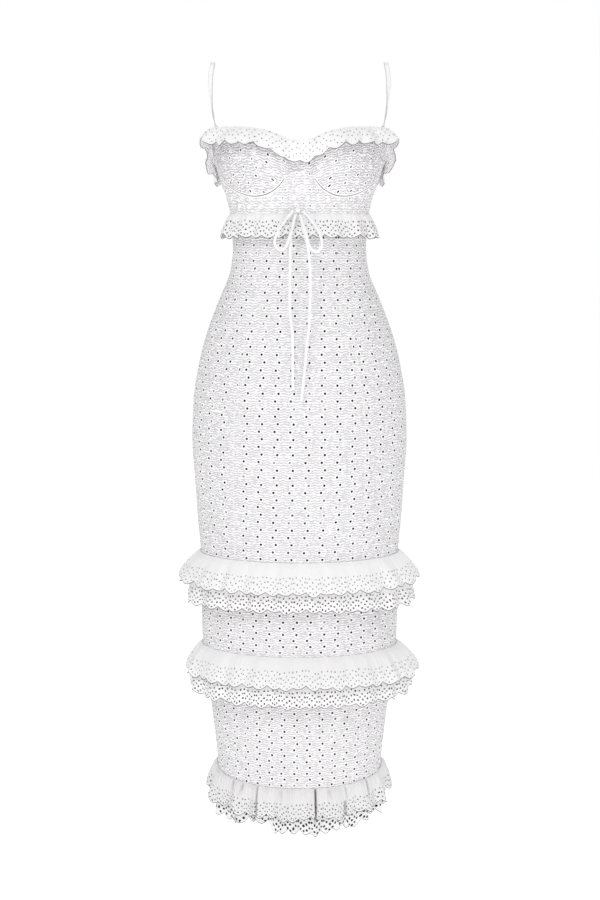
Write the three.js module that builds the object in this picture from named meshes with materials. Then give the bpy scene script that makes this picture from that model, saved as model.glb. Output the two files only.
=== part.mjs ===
// Maxi dress: a sweetheart bodice on thin straps, a fitted eyelet skirt and scalloped ruffles.
// Millimetres, +Z up. The front faces -Y and +X is on the right of someone who looks at it.
// The origin is midway between the tops of the two shoulder straps.
// Angles run round the body in degrees from the middle of the front: 90 is the right side,
// 180 the middle of the back and -90 the left side.

import * as THREE from 'three';

// Cloth
const CLOTH = 1.4; // wall of the crinkled eyelet cloth
const TRIM = 1.2; // wall of the embroidered ruffle trim
const GAP = 0.3; // space between pieces at a seam

// Levels of the seams that run round the dress
const WAIST_SEAM = -246;
const TIER_1_SEAM = -814;
const TIER_2_SEAM = -975;
const HEM_SEAM_FRONT = -1206;
const HEM_SEAM_SIDE = -1190;

// Angles of the upright seams
const CUP_SIDE = 75;
const BODICE_BACK = 100;
const SIDE_SEAM = 95;
const STRAP_CORNER = 62;

// Cups: the underwire is an arc of a circle seen from the front
const CUP_RADIUS = 59;
const CUP_CENTRE_X = 73;
const CUP_CENTRE_Z = -159;
const CUP_PROJECTION = 17;
const CUP_BRIDGE_Z = -177; // where the two cups meet in the middle
const CUP_INNER_REACH = 0.905; // share of the radius at which the underwire turns to the bridge
const UNDERWIRE_HALF = 126; // half the width of the bodice at the underwire

// Drawstring and straps
const CORD_DIAMETER = 4.6;
const CORD_SIDES = 8;
const CORD_STEP = 2.6; // diameters between one ring of a cord and the next
const STRAP_WIDTH = 7.6;
const STRAP_THICKNESS = 1.6;
const KNOT = { x: -2.6, y: -98.9, z: -240.6, halfWidth: 7, halfDepth: 6.6, halfHeight: 6.6 };

// Outer face of the dress: half its width, and its depth forwards and backwards from the axis
const FIGURE = [
  { z: -95, half: 162, front: 94, back: 66 },
  { z: -110, half: 158, front: 98, back: 70 },
  { z: -130, half: 150, front: 101, back: 75 },
  { z: -155, half: 142, front: 103, back: 80 },
  { z: -176, half: 135.5, front: 102, back: 83 },
  { z: -192, half: 130, front: 100, back: 85 },
  { z: -217, half: 121.5, front: 95, back: 86 },
  { z: -246, half: 115, front: 91, back: 84 },
  { z: -304, half: 110.7, front: 87, back: 82 },
  { z: -337, half: 115, front: 89, back: 87 },
  { z: -387, half: 134.7, front: 95, back: 102 },
  { z: -437, half: 154, front: 101, back: 115 },
  { z: -488, half: 168, front: 104, back: 125 },
  { z: -555, half: 179, front: 106, back: 130 },
  { z: -624, half: 181.7, front: 107, back: 129 },
  { z: -693, half: 177.5, front: 107, back: 123 },
  { z: -762, half: 173.5, front: 106.5, back: 116 },
  { z: -814, half: 169.5, front: 106, back: 112 },
  { z: -968, half: 168, front: 104, back: 105 },
  { z: -1100, half: 152, front: 101, back: 103 },
  { z: -1190, half: 143, front: 99, back: 101 },
  { z: -1300, half: 139, front: 97, back: 99 },
];

// Top edge of the bodice: it dips in the middle, rises over the cups to the strap corners,
// then drops under the arms to a low back
const NECKLINE = [
  { angle: 0, z: -131.7 },
  { angle: 7, z: -129.5 },
  { angle: 12, z: -123.5 },
  { angle: 18.5, z: -117 },
  { angle: 29, z: -111 },
  { angle: 40, z: -109.3 },
  { angle: 62, z: -108.7 },
  { angle: 68, z: -118 },
  { angle: 75, z: -133 },
  { angle: 82, z: -150 },
  { angle: 90, z: -164 },
  { angle: 100, z: -173 },
  { angle: 125, z: -176 },
  { angle: 180, z: -176 },
];

// Seams between the middle panel and the side panels of the skirt front
const PRINCESS_SEAM = [
  { z: -246, angle: 33 },
  { z: -431, angle: 33.5 },
  { z: -544, angle: 35.4 },
  { z: -643, angle: 36.9 },
  { z: -814, angle: 39.4 },
];

// Ruffle along the neckline: how far it drops and stands out at each angle
const NECK_RUFFLE = [
  { angle: 0, drop: 38, flare: 10 },
  { angle: 14, drop: 32, flare: 11 },
  { angle: 31, drop: 28, flare: 15 },
  { angle: 48, drop: 30, flare: 18 },
  { angle: 62, drop: 26, flare: 26 },
  { angle: 75, drop: 24, flare: 16 },
  { angle: 90, drop: 25, flare: 9 },
  { angle: 120, drop: 25, flare: 10 },
  { angle: 180, drop: 25, flare: 12 },
];

// Seams that carry a ruffle all round: the scallops and waves of that ruffle, how deep its
// scallops are and how far its waves stand out at the edge
const RUFFLE_SEAMS = {
  waist: { level: () => WAIST_SEAM, scallops: 36, waves: 18, depth: 5, swing: 4 },
  tier_1: { level: () => TIER_1_SEAM, scallops: 46, waves: 22, depth: 4.5, swing: 4 },
  tier_2: { level: () => TIER_2_SEAM, scallops: 46, waves: 22, depth: 4.5, swing: 4 },
  hem: { level: hemSeam, scallops: 44, waves: 18, depth: 7, swing: 6.5 },
};

// How far the edge of the lowest ruffle is caught up as it goes round the hem
const HEM_RISE = [
  { angle: -95, rise: 0 },
  { angle: -73, rise: 3 },
  { angle: -55, rise: 2 },
  { angle: -41, rise: 9 },
  { angle: -29, rise: 17 },
  { angle: -22, rise: 15 },
  { angle: -17, rise: -2 },
  { angle: -8, rise: 5 },
  { angle: 0, rise: 0 },
  { angle: 17, rise: -2 },
  { angle: 29, rise: 8 },
  { angle: 38, rise: -1 },
  { angle: 53, rise: 13 },
  { angle: 75, rise: 5 },
  { angle: 95, rise: 0 },
  { angle: 118, rise: 4 },
  { angle: 136, rise: 13 },
  { angle: 150, rise: 16 },
  { angle: 157, rise: -1 },
  { angle: 176, rise: 4 },
  { angle: 193, rise: -2 },
  { angle: 210, rise: 11 },
  { angle: 226, rise: -1 },
  { angle: 243, rise: 10 },
  { angle: 265, rise: 0 },
];
const LEVEL_EDGE = [{ angle: -95, rise: 0 }, { angle: 265, rise: 0 }];

// Ruffles on those seams. Layer 0 lies next to the body and layer 1 over it. side is how much
// further it drops at the sides, and lean how much further it stands out on the right and
// less on the left. grain is the number of steps of the wall along each scallop, and edge says
// where its lower edge is caught up.
const ROUND_RUFFLES = [
  {
    name: 'waist_ruffle', seam: 'waist', layer: 0, drop: 39, side: 0,
    flare: 16, lean: 0, grain: 3, edge: LEVEL_EDGE,
  },
  {
    name: 'tier_1_under', seam: 'tier_1', layer: 0, drop: 79, side: 7,
    flare: 24, lean: 3, grain: 2, edge: LEVEL_EDGE,
  },
  {
    name: 'tier_1_upper', seam: 'tier_1', layer: 1, drop: 47, side: 0,
    flare: 33, lean: -1, grain: 3, edge: LEVEL_EDGE,
  },
  {
    name: 'tier_2_under', seam: 'tier_2', layer: 0, drop: 79, side: 0,
    flare: 31, lean: 3, grain: 2, edge: LEVEL_EDGE,
  },
  {
    name: 'tier_2_upper', seam: 'tier_2', layer: 1, drop: 45, side: 4,
    flare: 34, lean: 5, grain: 3, edge: LEVEL_EDGE,
  },
  {
    name: 'hem_under', seam: 'hem', layer: 0, drop: 80, side: 0,
    flare: 5, lean: 0, grain: 2, edge: HEM_RISE,
  },
  {
    name: 'hem_upper', seam: 'hem', layer: 1, drop: 51, side: 0,
    flare: 14, lean: -1, grain: 3, edge: LEVEL_EDGE,
  },
];

const NECK_SCALLOP_DEPTH = 4.5;
const RUFFLE_ROWS = 2; // steps of the wall from a ruffle's seam to its edge
const SPACED_BELOW = 20; // distance below its seam at which a ruffle's scallops are equally long
const SPACING_STEPS = 120; // steps in which that length is measured
const LAYER_LIFT = 0.4; // more space under the upper layer of a pair
const EDGE_CURL = 1.3; // how quickly a ruffle stands out below its seam
const WAVE_GROWTH = 0.8; // how quickly the waves grow below the seam
const WAVE_DRIFT = { shift: 0.8, turns: 3.5 }; // makes the waves of a strip uneven

// Left strap between its two sewn ends: up from the front corner, over the shoulder and
// down behind it. turn is the angle between its broad side and the line of the shoulders.
const STRAP_ROUTE = [
  { x: -140.2, y: -41.5, z: -88, turn: -84 },
  { x: -142.6, y: -31, z: -63, turn: -72 },
  { x: -144.8, y: -20, z: -37, turn: -14 },
  { x: -144, y: -11, z: -18, turn: -10 },
  { x: -142, y: -4, z: -4.5, turn: -6 },
  { x: -141.5, y: 3, z: -0.8, turn: 0 },
  { x: -142.5, y: 9.5, z: -5, turn: 6 },
  { x: -146, y: 17, z: -24, turn: 18 },
  { x: -146, y: 28, z: -60, turn: 32 },
  { x: -143.5, y: 35, z: -98, turn: 42 },
  { x: -135, y: 37, z: -138, turn: 48 },
];
const STRAP_FRONT = { angle: 59.4, turn: -48 };
const STRAP_BACK = { angle: 114, turn: 54 };
const STRAP_SEWN = 11; // length of each end inside the bodice
const STRAP_CLEAR = 0.9; // space between a sewn end and the wall

// Drawstring: each loop leaves the knot and goes back into it, and each tail hangs free
const LOOP_LEFT_ROUTE = [
  [-11, -99.8, -242.4], [-16.5, -102.8, -249], [-23, -106, -257.5], [-31.7, -113, -270.1],
  [-38, -118.6, -284], [-38.8, -120, -294], [-31.2, -119.4, -302.6], [-22.6, -119, -298.5],
  [-17, -119.6, -286], [-12.4, -115.6, -272], [-8.6, -108.8, -258], [-6.4, -103.2, -247.9],
];
const LOOP_RIGHT_ROUTE = [
  [0.8, -103.2, -247.9], [4.2, -108.8, -258], [8, -115.2, -270], [11.8, -119.4, -284],
  [16.4, -119.8, -297.6], [25, -119.2, -305.6], [33.2, -119.6, -301], [35.4, -120, -290.4],
  [31.6, -116.6, -276.4], [23.8, -109.6, -263], [13.4, -103.6, -250], [6.1, -99.9, -242.6],
];
const TAIL_LEFT_ROUTE = [
  [-6, -98, -247.7], [-8.6, -102.2, -257], [-10.8, -107, -266], [-12.6, -111.6, -276],
  [-14, -114, -287.3], [-14.6, -114.6, -312.4], [-15.1, -114.8, -342.4], [-15.5, -115, -381.9],
  [-14.4, -115, -408], [-11.6, -115, -429.7], [-10.9, -114.4, -456], [-10.9, -114, -482.6],
  [-10.6, -113.5, -526.2],
];
const TAIL_RIGHT_ROUTE = [
  [0.7, -98, -247.7], [3, -102.2, -257], [5.4, -107, -266], [8, -111.6, -276],
  [10.6, -113.8, -286], [13.9, -114.4, -301.4], [16.4, -114.8, -328.2], [17.5, -115, -364.5],
  [16.6, -115, -392], [15, -115, -426.5], [11.5, -115, -453.6], [9.5, -114.6, -482.5],
  [5.6, -114.2, -519.7], [2.9, -114, -543.9],
];

const eyeletWhite = { color: 0xf1f1f4, roughness: 0.92, metalness: 0 };
const trimWhite = { color: 0xf9f9fb, roughness: 0.88, metalness: 0 };
const satinWhite = { color: 0xfafafa, roughness: 0.6, metalness: 0 };

const radians = THREE.MathUtils.degToRad;
const mix = THREE.MathUtils.lerp;

// Slope of one column of a table between row i and the next
function slope(table, key, column, i) {
  return (table[i + 1][column] - table[i][column]) / (table[i + 1][key] - table[i][key]);
}

// Slope of the smooth curve at row i, which never overshoots the rows
function tangent(table, key, column, i) {
  if (i === 0) return slope(table, key, column, 0);
  if (i === table.length - 1) return slope(table, key, column, i - 1);
  const before = slope(table, key, column, i - 1);
  const after = slope(table, key, column, i);
  return before * after <= 0 ? 0 : (2 * before * after) / (before + after);
}

// Reads a column of a table as a smooth curve of its key, which rises or falls all the way
function read(table, key, column, at) {
  const rising = table[1][key] > table[0][key];
  let i = 0;
  while (i < table.length - 2 && (rising ? at > table[i + 1][key] : at < table[i + 1][key])) i += 1;
  const width = table[i + 1][key] - table[i][key];
  const t = THREE.MathUtils.clamp((at - table[i][key]) / width, 0, 1);
  const start = table[i][column];
  const end = table[i + 1][column];
  const leave = tangent(table, key, column, i) * width;
  const arrive = tangent(table, key, column, i + 1) * width;
  return start * (1 + 2 * t) * (1 - t) ** 2 + leave * t * (1 - t) ** 2
    + end * t * t * (3 - 2 * t) - arrive * t * t * (1 - t);
}

// The same angle on the right half, from 0 in front to 180 behind
function fold(angle) {
  const turned = Math.abs(angle) % 360;
  return turned > 180 ? 360 - turned : turned;
}

const neckline = (angle) => read(NECKLINE, 'angle', 'z', fold(angle));
const princessSeam = (z) => read(PRINCESS_SEAM, 'z', 'angle', z);

// The hem seam is lowest in the middle of the front
function hemSeam(angle) {
  const forward = Math.max(0, Math.cos(radians(angle)));
  return mix(HEM_SEAM_SIDE, HEM_SEAM_FRONT, Math.sqrt(forward));
}

// How far a cup stands out of the plain bodice
function cupRelief(x, z) {
  const distance = Math.hypot(Math.abs(x) - CUP_CENTRE_X, z - CUP_CENTRE_Z) / CUP_RADIUS;
  return distance < 1 ? CUP_PROJECTION * (1 - distance ** 2) : 0;
}

// A point on the outer face of the dress, moved out by some distance
function bodyPoint(angle, z, out) {
  const turn = radians(angle);
  const half = read(FIGURE, 'z', 'half', z);
  const depth = read(FIGURE, 'z', Math.cos(turn) > 0 ? 'front' : 'back', z);
  const x = half * Math.sin(turn);
  const y = -depth * Math.cos(turn);
  const outward = new THREE.Vector2(x / half ** 2, y / depth ** 2).normalize();
  const moved = out + (y < 0 ? cupRelief(x, z) : 0);
  return new THREE.Vector3(x + outward.x * moved, y + outward.y * moved, z);
}

// The underwire seam of the cup, as a level at each angle
function cupSeam(angle) {
  const x = UNDERWIRE_HALF * Math.sin(radians(Math.abs(angle)));
  const inner = CUP_CENTRE_X - CUP_RADIUS * CUP_INNER_REACH;
  const arc = (at) => CUP_CENTRE_Z - Math.sqrt(CUP_RADIUS ** 2 - (at - CUP_CENTRE_X) ** 2);
  return x > inner ? arc(x) : mix(CUP_BRIDGE_Z, arc(inner), x / inner);
}

// The face that lies a thickness behind another, measured square to it
function behind(faceAt, thickness) {
  const small = 1e-3;
  return (across, down) => {
    const right = faceAt(across + small, down).sub(faceAt(across - small, down));
    const start = Math.max(0, down - small);
    const low = faceAt(across, Math.min(1, down + small)).sub(faceAt(across, start));
    return faceAt(across, down).addScaledVector(low.cross(right).normalize(), -thickness);
  };
}

// A closed wall of cloth between two faces on one grid. across runs round the body towards
// larger angles and down runs towards the hem.
function wall(outerAt, innerAt, columns, rows) {
  const outer = [];
  const inner = [];
  for (let j = 0; j <= rows; j += 1) {
    for (let i = 0; i <= columns; i += 1) {
      outer.push(outerAt(i / columns, j / rows));
      inner.push(innerAt(i / columns, j / rows));
    }
  }
  const positions = [...outer, ...inner].flatMap((point) => point.toArray());
  const back = outer.length;
  const at = (i, j) => j * (columns + 1) + i;
  const faces = [];
  const quad = (a, b, c, d) => faces.push(a, b, c, a, c, d);
  for (let j = 0; j < rows; j += 1) {
    for (let i = 0; i < columns; i += 1) {
      const [a, b, c, d] = [at(i, j), at(i, j + 1), at(i + 1, j + 1), at(i + 1, j)];
      quad(a, b, c, d);
      quad(a + back, d + back, c + back, b + back);
    }
  }
  for (let i = 0; i < columns; i += 1) {
    quad(at(i, 0), at(i + 1, 0), at(i + 1, 0) + back, at(i, 0) + back);
    quad(at(i + 1, rows), at(i, rows), at(i, rows) + back, at(i + 1, rows) + back);
  }
  for (let j = 0; j < rows; j += 1) {
    quad(at(0, j + 1), at(0, j), at(0, j) + back, at(0, j + 1) + back);
    quad(at(columns, j), at(columns, j + 1), at(columns, j + 1) + back, at(columns, j) + back);
  }
  const geometry = new THREE.BufferGeometry();
  geometry.setAttribute('position', new THREE.Float32BufferAttribute(positions, 3));
  geometry.setIndex(faces);
  geometry.computeVertexNormals();
  return geometry;
}

const dress = new THREE.Group();

function add(name, geometry, finish) {
  const mesh = new THREE.Mesh(geometry, new THREE.MeshStandardMaterial(finish));
  mesh.name = name;
  dress.add(mesh);
}

// A panel of eyelet cloth between two upright seams and two level ones.
// left and right give an angle at each level, top and bottom a level at each angle.
function panel({ name, left, right, top, bottom, columns, rows }) {
  const faceAt = (out) => (across, down) => {
    let angle = mix(left(top(0)), right(top(0)), across);
    let z = mix(top(angle), bottom(angle), down);
    for (let pass = 0; pass < 4; pass += 1) {
      const inset = THREE.MathUtils.radToDeg(GAP / 2 / read(FIGURE, 'z', 'front', z));
      angle = mix(left(z) + inset, right(z) - inset, across);
      z = mix(top(angle), bottom(angle), down);
    }
    return bodyPoint(angle, z, out);
  };
  add(name, wall(faceAt(0), faceAt(-CLOTH), columns, rows), eyeletWhite);
}

const always = (value) => () => value;
const above = (seam) => (angle) => seam(angle) + GAP / 2;
const below = (seam) => (angle) => seam(angle) - GAP / 2;
const waistSeam = always(WAIST_SEAM);
const leftPrincess = (z) => -princessSeam(z);
const backRight = 360 - SIDE_SEAM;

// Bodice: two cups over a band that fills the bridge between them, sides and a low back
const cup = { top: neckline, bottom: above(cupSeam), columns: 12, rows: 6 };
const band = { top: below(cupSeam), bottom: above(waistSeam), columns: 24, rows: 2 };
const side = { top: neckline, bottom: above(waistSeam), columns: 3, rows: 3 };
const lowBack = { top: neckline, bottom: above(waistSeam), columns: 8, rows: 3 };
panel({ name: 'cup_left', left: always(-CUP_SIDE), right: always(0), ...cup });
panel({ name: 'cup_right', left: always(0), right: always(CUP_SIDE), ...cup });
panel({ name: 'bodice_band', left: always(-CUP_SIDE), right: always(CUP_SIDE), ...band });
panel({ name: 'bodice_side_left', left: always(-BODICE_BACK), right: always(-CUP_SIDE), ...side });
panel({ name: 'bodice_side_right', left: always(CUP_SIDE), right: always(BODICE_BACK), ...side });
panel({ name: 'bodice_back_left', left: always(180), right: always(360 - BODICE_BACK), ...lowBack });
panel({ name: 'bodice_back_right', left: always(BODICE_BACK), right: always(180), ...lowBack });

// Skirt from the waist to the first tier: middle front, two side fronts and two backs
const fitted = { top: below(waistSeam), bottom: above(always(TIER_1_SEAM)), rows: 12 };
panel({ name: 'skirt_front', left: leftPrincess, right: princessSeam, columns: 6, ...fitted });
panel({ name: 'skirt_side_left', left: always(-SIDE_SEAM), right: leftPrincess, columns: 5, ...fitted });
panel({ name: 'skirt_side_right', left: princessSeam, right: always(SIDE_SEAM), columns: 5, ...fitted });
panel({ name: 'skirt_back_left', left: always(180), right: always(backRight), columns: 7, ...fitted });
panel({ name: 'skirt_back_right', left: always(SIDE_SEAM), right: always(180), columns: 7, ...fitted });

// Skirt between the tiers and down to the hem seam, each in a front and a back
const frontHalf = { left: always(-SIDE_SEAM), right: always(SIDE_SEAM), columns: 16 };
const backHalf = { left: always(SIDE_SEAM), right: always(backRight), columns: 14 };
const middle = { top: below(always(TIER_1_SEAM)), bottom: above(always(TIER_2_SEAM)), rows: 2 };
const lower = { top: below(always(TIER_2_SEAM)), bottom: above(hemSeam), rows: 3 };
panel({ name: 'skirt_middle_front', ...frontHalf, ...middle });
panel({ name: 'skirt_middle_back', ...backHalf, ...middle });
panel({ name: 'skirt_lower_front', ...frontHalf, ...lower });
panel({ name: 'skirt_lower_back', ...backHalf, ...lower });

// Turns a share of the way round a level into an angle, so that equal shares are equal lengths
function evenAngles(z, from, to) {
  const steps = SPACING_STEPS;
  const lengths = [0];
  for (let i = 1; i <= steps; i += 1) {
    const here = bodyPoint(mix(from, to, i / steps), z, 0);
    const last = bodyPoint(mix(from, to, (i - 1) / steps), z, 0);
    lengths.push(lengths[i - 1] + here.distanceTo(last));
  }
  return (share) => {
    const wanted = share * lengths[steps];
    let i = 1;
    while (i < steps && lengths[i] < wanted) i += 1;
    const part = (wanted - lengths[i - 1]) / (lengths[i] - lengths[i - 1]);
    return mix(from, to, (i - 1 + part) / steps);
  };
}

// One stretch of gathered ruffle. share runs along it and down from its seam to its edge.
function ruffle(strip) {
  const { from, to, level: seamLevel, drop, flare, layer, extraLift } = strip;
  const { scallops, waves, depth, swing } = strip;
  const angleAt = evenAngles(seamLevel((from + to) / 2) - SPACED_BELOW, from, to);
  const lift = (layer + 1) * (GAP + TRIM) + extraLift;
  const faceAt = (across, down) => {
    const angle = angleAt(across);
    const edge = drop(angle) - depth * (1 - Math.abs(Math.sin(Math.PI * scallops * across)));
    const drift = WAVE_DRIFT.shift * Math.sin(2 * Math.PI * WAVE_DRIFT.turns * across);
    const wave = Math.cos(2 * Math.PI * waves * across + drift);
    const out = lift + flare(angle) * (1 - (1 - down) ** EDGE_CURL) + swing * down ** WAVE_GROWTH * wave;
    return bodyPoint(angle, seamLevel(angle) - GAP / 2 - edge * down, out);
  };
  const faces = [faceAt, behind(faceAt, TRIM)];
  add(strip.name, wall(...faces, scallops * strip.grain, RUFFLE_ROWS), trimWhite);
}

// A ruffle that goes right round is sewn of a front and a back strip, joined at the sides
const stripInset = 0.12;
for (const row of ROUND_RUFFLES) {
  const seam = RUFFLE_SEAMS[row.seam];
  const strip = {
    ...row,
    level: seam.level,
    depth: seam.depth,
    swing: seam.swing,
    drop: (angle) => {
      const rise = read(row.edge, 'angle', 'rise', angle);
      return row.drop + row.side * Math.sin(radians(angle)) ** 2 - rise;
    },
    flare: (angle) => row.flare + row.lean * Math.sin(radians(angle)),
    extraLift: LAYER_LIFT * row.layer,
    scallops: seam.scallops / 2,
    waves: seam.waves / 2,
  };
  ruffle({ ...strip, name: `${row.name}_front`, from: stripInset - SIDE_SEAM, to: SIDE_SEAM - stripInset });
  ruffle({ ...strip, name: `${row.name}_back`, from: SIDE_SEAM + stripInset, to: backRight - stripInset });
}

// Ruffle of the neckline: one strip over the cups and one under the arms and round the back
const neckRuffle = {
  level: neckline,
  drop: (angle) => read(NECK_RUFFLE, 'angle', 'drop', fold(angle)),
  flare: (angle) => read(NECK_RUFFLE, 'angle', 'flare', fold(angle)),
  layer: 0,
  extraLift: 0.9,
  depth: NECK_SCALLOP_DEPTH,
  swing: 3.5,
  grain: 3,
};
const cornerInset = 0.15;
ruffle({
  ...neckRuffle,
  name: 'neck_ruffle_front',
  from: cornerInset - STRAP_CORNER,
  to: STRAP_CORNER - cornerInset,
  scallops: 14,
  waves: 7,
});
ruffle({
  ...neckRuffle,
  name: 'neck_ruffle_back',
  from: STRAP_CORNER + cornerInset,
  to: 360 - STRAP_CORNER - cornerInset,
  scallops: 18,
  waves: 11,
});

// The two stops of a strap's end that lies inside the bodice, from its edge down
function sewnEnd({ angle, turn }) {
  const inside = -(CLOTH + STRAP_CLEAR + STRAP_THICKNESS / 2);
  return [0, -STRAP_SEWN].map((down) => {
    const point = bodyPoint(-angle, neckline(angle) + down, inside);
    return { x: point.x, y: point.y, z: point.z, turn };
  });
}

// A flat strap along its route. side is -1 for the left strap and 1 for the right one.
function strap(name, side) {
  const route = [...sewnEnd(STRAP_FRONT).reverse(), ...STRAP_ROUTE, ...sewnEnd(STRAP_BACK)];
  const curve = new THREE.CatmullRomCurve3(
    route.map((stop) => new THREE.Vector3(-side * stop.x, stop.y, stop.z)),
    false,
    'centripetal',
  );
  const steps = route.length - 1;
  const positions = [];
  for (let i = 0; i <= steps; i += 1) {
    const centre = curve.getPoint(i / steps);
    const along = curve.getTangent(i / steps);
    const turn = radians(route[i].turn);
    const broad = new THREE.Vector3(-side * Math.cos(turn), Math.sin(turn), 0);
    broad.addScaledVector(along, -broad.dot(along)).normalize();
    const face = new THREE.Vector3().crossVectors(along, broad);
    for (const [w, t] of [[-1, -1], [1, -1], [1, 1], [-1, 1]]) {
      const corner = centre.clone().addScaledVector(broad, (w * STRAP_WIDTH) / 2);
      corner.addScaledVector(face, (t * STRAP_THICKNESS) / 2);
      positions.push(...corner.toArray());
    }
  }
  const faces = [0, 2, 1, 0, 3, 2];
  for (let i = 0; i < steps; i += 1) {
    for (let k = 0; k < 4; k += 1) {
      const a = 4 * i + k;
      const b = 4 * i + ((k + 1) % 4);
      faces.push(a, b, b + 4, a, b + 4, a + 4);
    }
  }
  const end = 4 * steps;
  faces.push(end, end + 1, end + 2, end, end + 2, end + 3);
  const geometry = new THREE.BufferGeometry();
  geometry.setAttribute('position', new THREE.Float32BufferAttribute(positions, 3));
  geometry.setIndex(faces);
  geometry.computeVertexNormals();
  add(name, geometry, satinWhite);
}

strap('strap_left', -1);
strap('strap_right', 1);

// A round cord along its route
function cord(name, route) {
  const path = new THREE.CatmullRomCurve3(
    route.map((point) => new THREE.Vector3(...point)),
    false,
    'centripetal',
  );
  const section = new THREE.Shape();
  for (let k = 0; k < CORD_SIDES; k += 1) {
    const turn = (2 * Math.PI * (k + 0.5)) / CORD_SIDES;
    const x = (CORD_DIAMETER / 2) * Math.cos(turn);
    const y = (CORD_DIAMETER / 2) * Math.sin(turn);
    if (k === 0) section.moveTo(x, y);
    else section.lineTo(x, y);
  }
  section.closePath();
  const steps = Math.ceil(path.getLength() / (CORD_STEP * CORD_DIAMETER));
  const sweep = { steps, bevelEnabled: false, extrudePath: path };
  add(name, new THREE.ExtrudeGeometry(section, sweep), satinWhite);
}

cord('bow_loop_left', LOOP_LEFT_ROUTE);
cord('bow_loop_right', LOOP_RIGHT_ROUTE);
cord('bow_tail_left', TAIL_LEFT_ROUTE);
cord('bow_tail_right', TAIL_RIGHT_ROUTE);

const knot = new THREE.SphereGeometry(1, 12, 8);
knot.scale(KNOT.halfWidth, KNOT.halfDepth, KNOT.halfHeight);
knot.translate(KNOT.x, KNOT.y, KNOT.z);
add('bow_knot', knot, satinWhite);

export default dress;
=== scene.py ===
"""Looks of a maxi dress: eyelet cloth, scalloped ruffles, thin straps and a drawstring bow."""

import logging
import math
from collections.abc import Callable, Sequence
from dataclasses import dataclass, replace
from enum import Enum

import bpy
import numpy as np
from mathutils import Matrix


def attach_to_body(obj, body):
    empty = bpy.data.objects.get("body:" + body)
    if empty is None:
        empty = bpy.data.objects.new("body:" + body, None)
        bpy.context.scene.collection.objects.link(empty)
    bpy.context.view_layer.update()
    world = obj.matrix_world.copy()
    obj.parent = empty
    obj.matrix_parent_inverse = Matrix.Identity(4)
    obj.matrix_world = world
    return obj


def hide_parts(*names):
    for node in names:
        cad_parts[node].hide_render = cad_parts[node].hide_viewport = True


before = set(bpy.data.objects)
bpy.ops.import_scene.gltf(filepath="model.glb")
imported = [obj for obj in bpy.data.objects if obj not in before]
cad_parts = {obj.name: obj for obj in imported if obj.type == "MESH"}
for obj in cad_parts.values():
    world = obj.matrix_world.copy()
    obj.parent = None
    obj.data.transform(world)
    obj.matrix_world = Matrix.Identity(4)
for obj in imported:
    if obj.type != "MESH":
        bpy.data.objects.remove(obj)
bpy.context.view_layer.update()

log = logging.getLogger("dress")

Array = np.ndarray
Level = Callable[[Array], Array]
Point = tuple[float, float, float]
Colour = tuple[float, float, float, float]

# Sizes are in millimetres and angles in degrees from the middle of the front, 90 to the right.
MM = 0.001


class Slot(Enum):
    """The record's material slots."""

    EYELET = "eyelet_cloth"
    TRIM = "embroidered_trim"
    CORD = "strap_and_cord"


class Held(Enum):
    """How a sheet of cloth is held."""

    HUNG = "hung"
    GATHERED = "gathered"
    STRETCHED = "stretched"
    FOLDED = "folded"


class Grain(Enum):
    """What the rows of eyelets follow: level rings, or the top edge of the panel."""

    LEVEL = "level"
    TOP_EDGE = "top_edge"


class Channel(Enum):
    """Which edges of a panel have a smooth stitched channel beside them."""

    SIDES = "sides"
    TOP = "top"
    BOTTOM = "bottom"


@dataclass(frozen=True)
class Profile:
    """A smooth curve through the rows of a table, which never overshoots them."""

    keys: tuple[float, ...]
    values: tuple[float, ...]

    def at(self, key: Array | float) -> Array:
        """Reads the curve.

        Args:
            key: Where to read it; outside the table the nearest end counts.

        Returns:
            The value at each key.
        """
        keys, values = np.array(self.keys), np.array(self.values)
        slopes = np.diff(values) / np.diff(keys)
        before, after = slopes[:-1], slopes[1:]
        same = before * after > 0
        inner = np.where(same, 2 * before * after / np.where(same, before + after, 1), 0)
        tangents = np.concatenate([slopes[:1], inner, slopes[-1:]])
        key = np.clip(key, keys[0], keys[-1])
        i = np.clip(np.searchsorted(keys, key) - 1, 0, len(keys) - 2)
        width = keys[i + 1] - keys[i]
        t = (key - keys[i]) / width
        rise = tangents[i] * t * (1 - t) ** 2 - tangents[i + 1] * t * t * (1 - t)
        return values[i] * (1 + 2 * t) * (1 - t) ** 2 + values[i + 1] * t * t * (3 - 2 * t) + rise * width


def profiles(rows: Sequence[Sequence[float]]) -> list[Profile]:
    """Splits a table, whose first column is the key, into one curve for each other column."""
    columns = list(zip(*sorted(rows)))
    return [Profile(columns[0], column) for column in columns[1:]]


# Level, half width, depth in front and depth behind
FIGURE_ROWS = (
    (-95, 162, 94, 66),
    (-110, 158, 98, 70),
    (-130, 150, 101, 75),
    (-155, 142, 103, 80),
    (-176, 135.5, 102, 83),
    (-192, 130, 100, 85),
    (-217, 121.5, 95, 86),
    (-246, 115, 91, 84),
    (-304, 110.7, 87, 82),
    (-337, 115, 89, 87),
    (-387, 134.7, 95, 102),
    (-437, 154, 101, 115),
    (-488, 168, 104, 125),
    (-555, 179, 106, 130),
    (-624, 181.7, 107, 129),
    (-693, 177.5, 107, 123),
    (-762, 173.5, 106.5, 116),
    (-814, 169.5, 106, 112),
    (-968, 168, 104, 105),
    (-1100, 152, 101, 103),
    (-1190, 143, 99, 101),
    (-1300, 139, 97, 99),
)
# Angle and level of the top edge
NECKLINE_ROWS = (
    (0, -131.7),
    (7, -129.5),
    (12, -123.5),
    (18.5, -117),
    (29, -111),
    (40, -109.3),
    (62, -108.7),
    (68, -118),
    (75, -133),
    (82, -150),
    (90, -164),
    (100, -173),
    (125, -176),
    (180, -176),
)
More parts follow.
